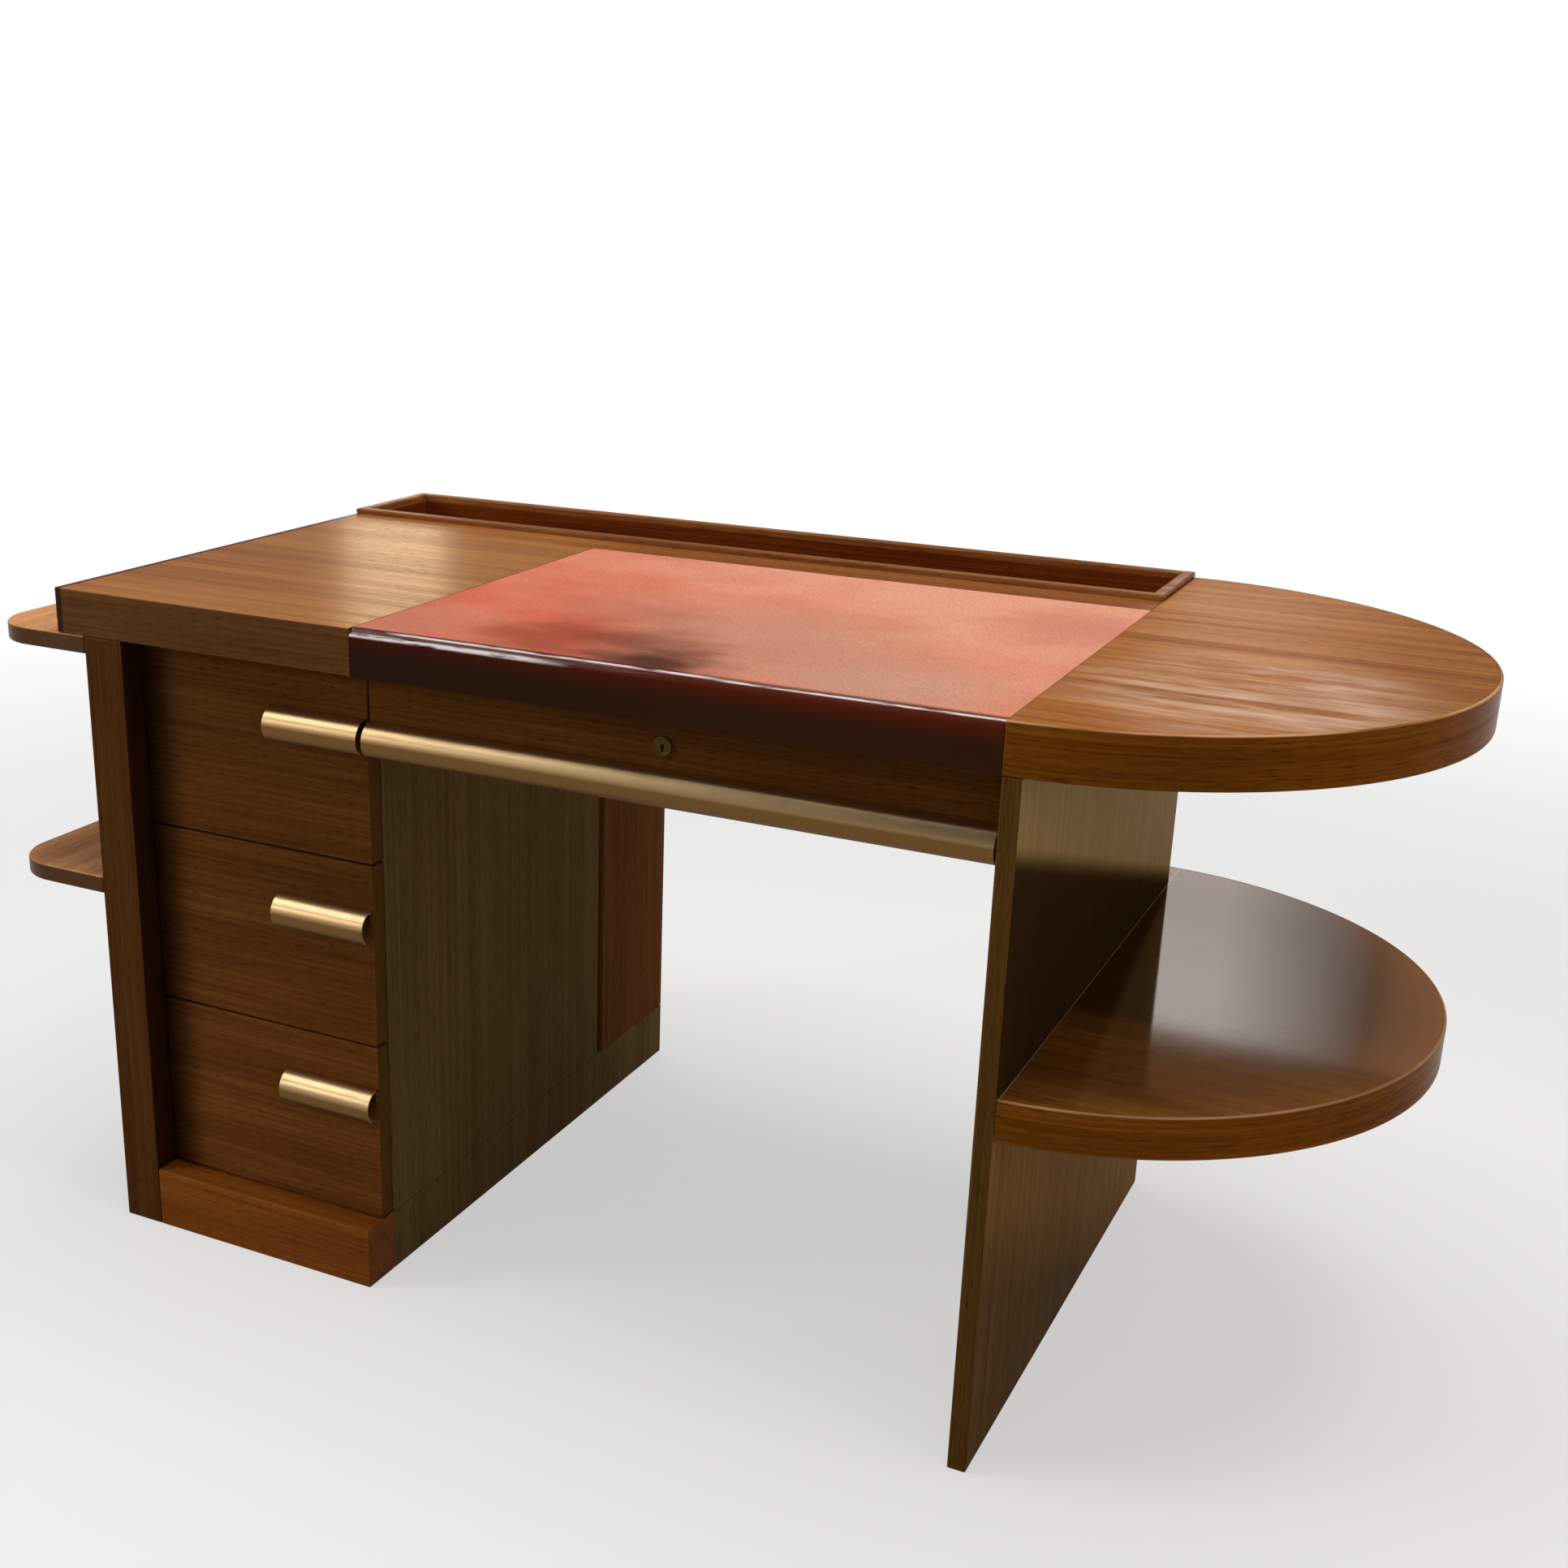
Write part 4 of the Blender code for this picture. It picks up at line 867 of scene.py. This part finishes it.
def copy_to(piece, name, shift):
    """Copy of a piece with a mesh of its own, in which it is moved."""
    take(piece)
    bpy.ops.object.duplicate(linked=False)
    twin = bpy.context.object
    twin.name = twin.data.name = name
    bpy.ops.object.mode_set(mode="EDIT")
    bpy.ops.mesh.select_all(action="SELECT")
    bpy.ops.transform.translate(value=shift)
    bpy.ops.object.mode_set(mode="OBJECT")
    return twin


def tie(piece, finish, body, slot, *replaced):
    """Gives a piece its finish, the body it rides on and the solids that it stands for."""
    piece.data.materials.clear()
    piece.data.materials.append(finish)
    if replaced:
        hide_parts(*replaced)
    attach(piece, body)
    triangles = sum(len(face.vertices) - 2 for face in piece.data.polygons)
    print(piece.name, "has", triangles, "triangles and rides on", body)


# %% [markdown]
# ## Round end and lower shelf
# Both are half discs: a veneered board with a thin band of solid wood bent round its edge, so that the
# grain follows the curve. The board is a cylinder cut in half. The band is the outline of its section,
# spun half a turn about the middle of the disc, with its two outer edges rounded over. A filled curve
# would give the outline too, but a spun section has even faces, and its rounded edges stay smooth.

# %% Half discs and their bands
BAND = 0.003            # thickness of the band
BAND_ROUND = 0.0022
BOARD_EASE = 0.0007
HAIRLINE = 0.0002       # between boards that meet
DISC_STEPS = 180


def half_disc(name, low, high):
    """Board in the shape of a half disc, its straight side at low.x, cut from a cylinder."""
    board = begin(
        name,
        bpy.ops.mesh.primitive_cylinder_add,
        vertices=2 * DISC_STEPS,
        radius=high.x - low.x - BAND - HAIRLINE,
        depth=high.z - low.z,
        location=(low.x, (low.y + high.y) / 2, (low.z + high.z) / 2),
    )
    bpy.ops.mesh.select_all(action="SELECT")
    bpy.ops.mesh.bisect(plane_co=low, plane_no=(1, 0, 0), clear_inner=True, use_fill=True)
    close_up()
    return board


def edge_band(name, low, high, turn):
    """Band of solid wood, spun round the disc from its back end."""
    radius = high.x - low.x
    middle = (low.x, (low.y + high.y) / 2, (low.z + high.z) / 2)
    band = begin(
        name,
        bpy.ops.mesh.primitive_plane_add,
        size=1,
        location=(low.x, high.y - BAND / 2, middle[2]),
        rotation=(0, math.pi / 2, 0),
        stretch=(high.z - low.z, BAND, 1),
    )
    bpy.ops.mesh.select_all(action="SELECT")
    bpy.ops.mesh.spin(steps=DISC_STEPS, angle=turn, center=middle, axis=(0, 0, 1))

    def on_rim(edge):
        return all((corner.co - Vector((*middle[:2], corner.co.z))).length > radius - BAND / 2
                   for corner in edge.verts) and abs(edge.verts[0].co.z - edge.verts[1].co.z) < HAIRLINE

    pick("EDGE", on_rim)
    bpy.ops.mesh.bevel(offset=BAND_ROUND, segments=4, affect="EDGES")
    close_up()
    shade(band)
    return band


round_end = half_disc("round_end_board", round_low, round_high)
ease(round_end, BOARD_EASE, 2)
shade(round_end)
tie(round_end, round_wood, "carcass", "mahogany", "d_top")
round_band = edge_band("round_end_edge_band", round_low, round_high, math.pi)
tie(round_band, edge_wood, "carcass", "mahogany")

# %% [markdown]
# The lower shelf is notched round the leg: in front it stops against the leg's outer face, and behind
# the leg it runs on to the straight side of the disc. A block, cut away by a Boolean, makes the notch. The
# band stops where it meets the leg, so its turn is a little less than half.

# %% Lower shelf
NOTCH_MARGIN = 0.02

lower_shelf = half_disc("lower_shelf_board", shelf_low, shelf_high)
cut_low = shelf_low - Vector((NOTCH_MARGIN, NOTCH_MARGIN, NOTCH_MARGIN))
cut_high = Vector((leg_high.x + HAIRLINE, leg_high.y + HAIRLINE, shelf_high.z + NOTCH_MARGIN))
cut_away(lower_shelf, begin_block("leg_notch", cut_low, cut_high))
ease(lower_shelf, BOARD_EASE, 2)
shade(lower_shelf)
tie(lower_shelf, shelf_wood, "carcass", "mahogany", "right_shelf")
blocked = math.asin((leg_high.x - leg_low.x + HAIRLINE) / (shelf_high.x - shelf_low.x))
shelf_band = edge_band("lower_shelf_edge_band", shelf_low, shelf_high, math.pi - blocked)
tie(shelf_band, edge_wood, "carcass", "mahogany")

# %% [markdown]
# ## Shelves on the left side
# Two equal boards with rounded outer corners. A cube takes the size of the shelf, its two outer upright
# edges are bevelled in many steps, which makes quarter circles with no cutting, and a small bevel then
# eases all the sharp edges. The second shelf is a copy, moved down.

# %% Left shelves
SHELF_CORNER = 0.060
SHELF_EASE = 0.0025

upper_low, upper_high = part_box("left_shelf_upper")
lower_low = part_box("left_shelf_lower")[0]
upper_high.x = panel_low.x - HAIRLINE
left_shelf = begin_block("left_shelf_board_upper", upper_low, upper_high)
pick("EDGE", lambda edge: all(corner.co.x < upper_low.x + HAIRLINE for corner in edge.verts)
     and abs(edge.verts[0].co.y - edge.verts[1].co.y) < HAIRLINE)
bpy.ops.mesh.bevel(offset=SHELF_CORNER, segments=24, affect="EDGES")
close_up()
ease(left_shelf, SHELF_EASE, 3)
shade(left_shelf)
left_shelf_low = copy_to(left_shelf, "left_shelf_board_lower", lower_low - upper_low)
tie(left_shelf, level_wood, "carcass", "mahogany", "left_shelf_upper")
tie(left_shelf_low, level_wood, "carcass", "mahogany", "left_shelf_lower")

# %% [markdown]
# ## Rim of the pencil trough
# Four strips with a rounded top meet in mitres at the corners. They are narrower than their solids and keep
# to the outer edge, so the walls of the trough show beside them. Each starts as a cube of the strip's size.
# Two slanting cuts through the outer corners take off its ends, and a bevel rounds its upper edges.

# %% Mitred rim
RIM_ROUND = 0.0026
RIM_SHOWN = 0.014       # breadth of a strip, at the outer edge of its solid
rim_boxes = {side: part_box(f"rim_{side}") for side in ("front", "back", "left", "right")}
rim_boxes["front"][1].y = rim_boxes["front"][0].y + RIM_SHOWN
rim_boxes["back"][0].y = rim_boxes["back"][1].y - RIM_SHOWN
rim_boxes["left"][1].x = rim_boxes["left"][0].x + RIM_SHOWN
rim_boxes["right"][0].x = rim_boxes["right"][1].x - RIM_SHOWN
rim_corners = [
    Vector((rim_boxes[across][end].x, rim_boxes[along][end_y].y, 0))
    for across, end in (("left", 0), ("right", 1))
    for along, end_y in (("front", 0), ("back", 1))
]
rim_middle = sum(rim_corners, Vector()) / 4

for side, (low, high) in rim_boxes.items():
    strip = begin_block(f"rim_strip_{side}", low, high)
    strip_middle = (low + high) / 2
    for corner in sorted(rim_corners, key=lambda spot: (spot - strip_middle).length)[:2]:
        inward = rim_middle - corner
        across = Vector((math.copysign(1, inward.y), -math.copysign(1, inward.x), 0))
        if across.dot(strip_middle - corner) > 0:
            across.negate()
        cut_at = corner - across * HAIRLINE
        bpy.ops.mesh.select_all(action="SELECT")
        bpy.ops.mesh.bisect(plane_co=cut_at, plane_no=across, clear_outer=True, use_fill=True)
    short_axis = 1 if side in ("front", "back") else 0
    pick("EDGE", lambda edge: all(corner.co.z > high.z - HAIRLINE for corner in edge.verts)
         and abs(edge.verts[0].co[short_axis] - edge.verts[1].co[short_axis]) < HAIRLINE)
    bpy.ops.mesh.bevel(offset=RIM_ROUND, segments=5, affect="EDGES")
    close_up()
    shade(strip)
    tie(strip, rim_wood, "carcass", "mahogany", f"rim_{side}")

# %% [markdown]
# ## Leather panel
# The leather is one sheet: flat on the top, rolled over the nose and drawn down the front of the slab.
# A grid gives the flat part, its front border is spun a quarter turn for the roll and then pulled down.
# Cloth could be draped over the board, but this hide is glued flat, and a rolled grid has its true length.

# %% Leather sheet, flat and rolled
HIDE_CELL = 0.006
ROLL_STEPS = 12
DROP_STEPS = 5

hide_width, hide_depth = hide_high.x - hide_low.x, hide_high.y - nose_line
sheet = begin(
    "leather_writing_panel",
    bpy.ops.mesh.primitive_grid_add,
    x_subdivisions=round(hide_width / HIDE_CELL),
    y_subdivisions=round(hide_depth / HIDE_CELL),
    size=1,
    location=((hide_low.x + hide_high.x) / 2, (nose_line + hide_high.y) / 2, hide_high.z),
    stretch=(hide_width - HAIRLINE, hide_depth, 1),
)
pick("EDGE", lambda edge: all(corner.co.y < nose_line + HAIRLINE for corner in edge.verts))
roll_middle = Vector((0, nose_line, roll_height))
bpy.ops.mesh.spin(steps=ROLL_STEPS, angle=math.pi / 2, center=roll_middle, axis=(-1, 0, 0))
drop = (roll_height - hide_low.z) / DROP_STEPS
for step in range(DROP_STEPS):
    bpy.ops.mesh.extrude_region_move(TRANSFORM_OT_translate={"value": (0, 0, -drop)})
bpy.ops.mesh.select_all(action="SELECT")
bpy.ops.mesh.remove_doubles(threshold=MERGE_WITHIN)
bpy.ops.mesh.normals_make_consistent(inside=False)
shape = bmesh.from_edit_mesh(sheet.data)
if max(shape.faces, key=lambda face: face.calc_center_median().y).normal.z < 0:
    bpy.ops.mesh.flip_normals()

# %% [markdown]
# Years of arms have pushed a crease along the roll, which dies out to the right, and nothing soft is quite
# level, so a gentle displacement follows. Last, Solidify gives the hide its thickness.

# %% Crease, swell and thickness of the leather
HIDE_THICKNESS = 0.0022
HIDE_EASE = 0.0008
HIDE_SWELL = 0.0006
SWELL_SIZE = 0.09
CREASE_DEPTH = 0.0008
CREASE_END = (0.30, 0.42)   # from the left: where the crease starts to fade, where it is gone

for vertex in shape.verts:
    if vertex.co.y < nose_line - HAIRLINE and vertex.co.z > roll_height + HAIRLINE:
        out = Vector((0, vertex.co.y, vertex.co.z)) - roll_middle
        angle = math.atan2(out.z, -out.y)
        along = (vertex.co.x - hide_low.x - CREASE_END[0]) / (CREASE_END[1] - CREASE_END[0])
        depth = CREASE_DEPTH * (1 - min(1, max(0, along)))
        vertex.co += out.normalized() * depth * math.cos(4 * angle)
bmesh.update_edit_mesh(sheet.data)
bpy.ops.object.mode_set(mode="OBJECT")
swell = bpy.data.textures.new("hide_swell", "CLOUDS")
swell.noise_scale = SWELL_SIZE
modify(sheet, "DISPLACE", texture=swell, strength=HIDE_SWELL, mid_level=0.5)
modify(sheet, "SOLIDIFY", thickness=HIDE_THICKNESS, offset=-1, use_even_offset=True)
ease(sheet, HIDE_EASE, 3, 50)
shade(sheet, 50)
tie(sheet, leather, "carcass", "leather", "leather_top")

# %% [markdown]
# ## Brass pulls
# A pull is a strip of brass sheet, bent into a hood: a flange lies on the drawer front, the hood curves
# out and down, and fingers reach in from below. Part of a circle gives the bend, a point pulled down
# gives the flange, and the line is drawn out to the length of the pull. Solidify makes it sheet metal of
# one thickness all over, which a block that is hollowed out would hardly be. Small bevels take off the
# sharp edges. The short pull is made once and copied.

# %% Bent pulls
PULL_SHEET = 0.002
PULL_FLANGE = 0.014
PULL_EASE = 0.0006
PULL_LIP = math.radians(50)     # how far the bend goes on past its foremost line
PULL_STEPS = 144
BEND_SLACK = 0.01               # radians


def bent_pull(name, node):
    """Hood of bent sheet in the place of a pull's solid."""
    low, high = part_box(node)
    radius = high.y - low.y
    bend = Vector((low.x, high.y, high.z - radius))
    circle = bpy.ops.mesh.primitive_circle_add
    across = (0, math.pi / 2, 0)
    pull = begin(name, circle, vertices=PULL_STEPS, radius=radius, location=bend, rotation=across)

    def past_bend(vertex):
        out = vertex.co - bend
        angle = math.atan2(out.z, -out.y)
        return not -PULL_LIP - BEND_SLACK < angle < math.pi / 2 + BEND_SLACK

    pick("VERT", past_bend)
    bpy.ops.mesh.delete(type="VERT")
    pick("VERT", lambda vertex: vertex.co.z > high.z - HAIRLINE / 2 and vertex.co.y > high.y - HAIRLINE)
    bpy.ops.mesh.extrude_region_move(TRANSFORM_OT_translate={"value": (0, 0, -PULL_FLANGE)})
    bpy.ops.mesh.select_all(action="SELECT")
    bpy.ops.mesh.extrude_region_move(TRANSFORM_OT_translate={"value": (high.x - low.x, 0, 0)})
    bpy.ops.mesh.select_all(action="SELECT")
    bpy.ops.mesh.normals_make_consistent(inside=False)
    shape = bmesh.from_edit_mesh(pull.data)
    if min(shape.faces, key=lambda face: face.calc_center_median().y).normal.y > 0:
        bpy.ops.mesh.flip_normals()
    bpy.ops.object.mode_set(mode="OBJECT")
    modify(pull, "SOLIDIFY", thickness=PULL_SHEET, offset=-1, use_even_offset=True)
    ease(pull, PULL_EASE, 3)
    shade(pull)
    return pull


first_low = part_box("bottom_drawer_pull")[0]
short_pull = bent_pull("bottom_drawer_brass_pull", "bottom_drawer_pull")
short_pulls = {"bottom_drawer": short_pull}
for drawer in ("middle_drawer", "top_drawer"):
    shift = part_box(f"{drawer}_pull")[0] - first_low
    short_pulls[drawer] = copy_to(short_pull, f"{drawer}_brass_pull", shift)
for drawer, pull in short_pulls.items():
    tie(pull, pull_brass, drawer, "brass", f"{drawer}_pull")
long_pull = bent_pull("centre_drawer_brass_pull", "centre_drawer_pull")
tie(long_pull, pull_brass, "centre_drawer", "brass", "centre_drawer_pull")

# %% [markdown]
# ## Keyhole plate
# The lock shows as a small turned disc with a raised rim. Insetting its face and pushing the middle
# back makes the rim, and two cutters make the keyhole: a round one for the key's pin and a slot for
# its bit.

# %% Keyhole plate
PLATE_RIM = 0.0022
PLATE_DISH = 0.0007
PLATE_EASE = 0.0004
KEYHOLE_RADIUS = 0.0022
KEYHOLE_LENGTH = 0.0055
CUTTER_DEPTH = 0.02
FACING_FRONT = {"rotation": (math.pi / 2, 0, 0)}

cylinder = bpy.ops.mesh.primitive_cylinder_add
plate_low, plate_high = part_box("lock_plate")
middle = (plate_low + plate_high) / 2
size = plate_high - plate_low
plate = begin(
    "keyhole_plate", cylinder, vertices=96, radius=size.x / 2, depth=size.y, location=middle, **FACING_FRONT
)
pick("FACE", lambda face: face.normal.y < -0.9)
bpy.ops.mesh.inset(thickness=PLATE_RIM)
bpy.ops.mesh.inset(thickness=PLATE_DISH)
bpy.ops.transform.translate(value=(0, PLATE_DISH, 0))
close_up()
ease(plate, PLATE_EASE, 3, 30)
pin = {"vertices": 32, "radius": KEYHOLE_RADIUS, "depth": CUTTER_DEPTH}
cut_away(plate, begin("key_pin", cylinder, location=middle, **pin, **FACING_FRONT))
reach = Vector((KEYHOLE_RADIUS, CUTTER_DEPTH, 0)) / 2
cut_away(plate, begin_block("key_bit", middle - reach - Vector((0, 0, KEYHOLE_LENGTH)), middle + reach))
shade(plate)
tie(plate, plate_brass, "centre_drawer", "brass", "lock_plate")

# %% [markdown]
# ## Screws
# The pulls are held from inside the drawers, and the lock by its case. Such desks have slotted brass screws
# with a low domed head. One is modelled: a disc whose outer edge is bevelled into a dome, with a slot cut
# across it. It is then copied to each place, and the model is taken away.

# %% Slotted screws
SCREW_RADIUS = 0.0036
SCREW_HEAD = 0.0020
SCREW_DOME = 0.8 * SCREW_HEAD
SLOT_WIDTH = 0.0009
SLOT_DEPTH = 0.0009
LOCK_SCREW_INSET = 0.007
SHORT_PULL_SCREWS = (0.3, 0.7)   # shares of the pull's length
LONG_PULL_SCREWS = (0.12, 0.37, 0.63, 0.88)

head = {"vertices": 32, "radius": SCREW_RADIUS, "depth": SCREW_HEAD, "location": (0, SCREW_HEAD / 2, 0)}
screw = begin("slotted_screw", cylinder, **head, **FACING_FRONT)
pick("EDGE", lambda edge: all(corner.co.y > SCREW_HEAD - HAIRLINE for corner in edge.verts))
bpy.ops.mesh.bevel(offset=SCREW_DOME, segments=4, affect="EDGES")
close_up()
middle = Vector((0, SCREW_HEAD, 0))
reach = Vector((1.5 * SCREW_RADIUS, SLOT_DEPTH, SLOT_WIDTH / 2))
cut_away(screw, begin_block("screw_slot", middle - reach, middle + reach))
shade(screw)

screw_places = []
for drawer in DRAWERS:
    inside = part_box(f"{drawer}_front")[1].y
    low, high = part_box(f"{drawer}_pull")
    for share in LONG_PULL_SCREWS if drawer == "centre_drawer" else SHORT_PULL_SCREWS:
        across = low.x + share * (high.x - low.x)
        screw_places.append((drawer, "pull", Vector((across, inside, high.z - PULL_FLANGE / 2))))
case_low, case_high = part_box("lock_case")
for across in (case_low.x + LOCK_SCREW_INSET, case_high.x - LOCK_SCREW_INSET):
    for level in (case_low.z + LOCK_SCREW_INSET, case_high.z - LOCK_SCREW_INSET):
        screw_places.append(("centre_drawer", "lock", Vector((across, case_high.y, level))))
for number, (drawer, use, place) in enumerate(screw_places, 1):
    tie(copy_to(screw, f"{drawer}_{use}_screw_{number}", place), plate_brass, drawer, "brass")
bpy.data.objects.remove(screw)
print("screws:", len(screw_places))
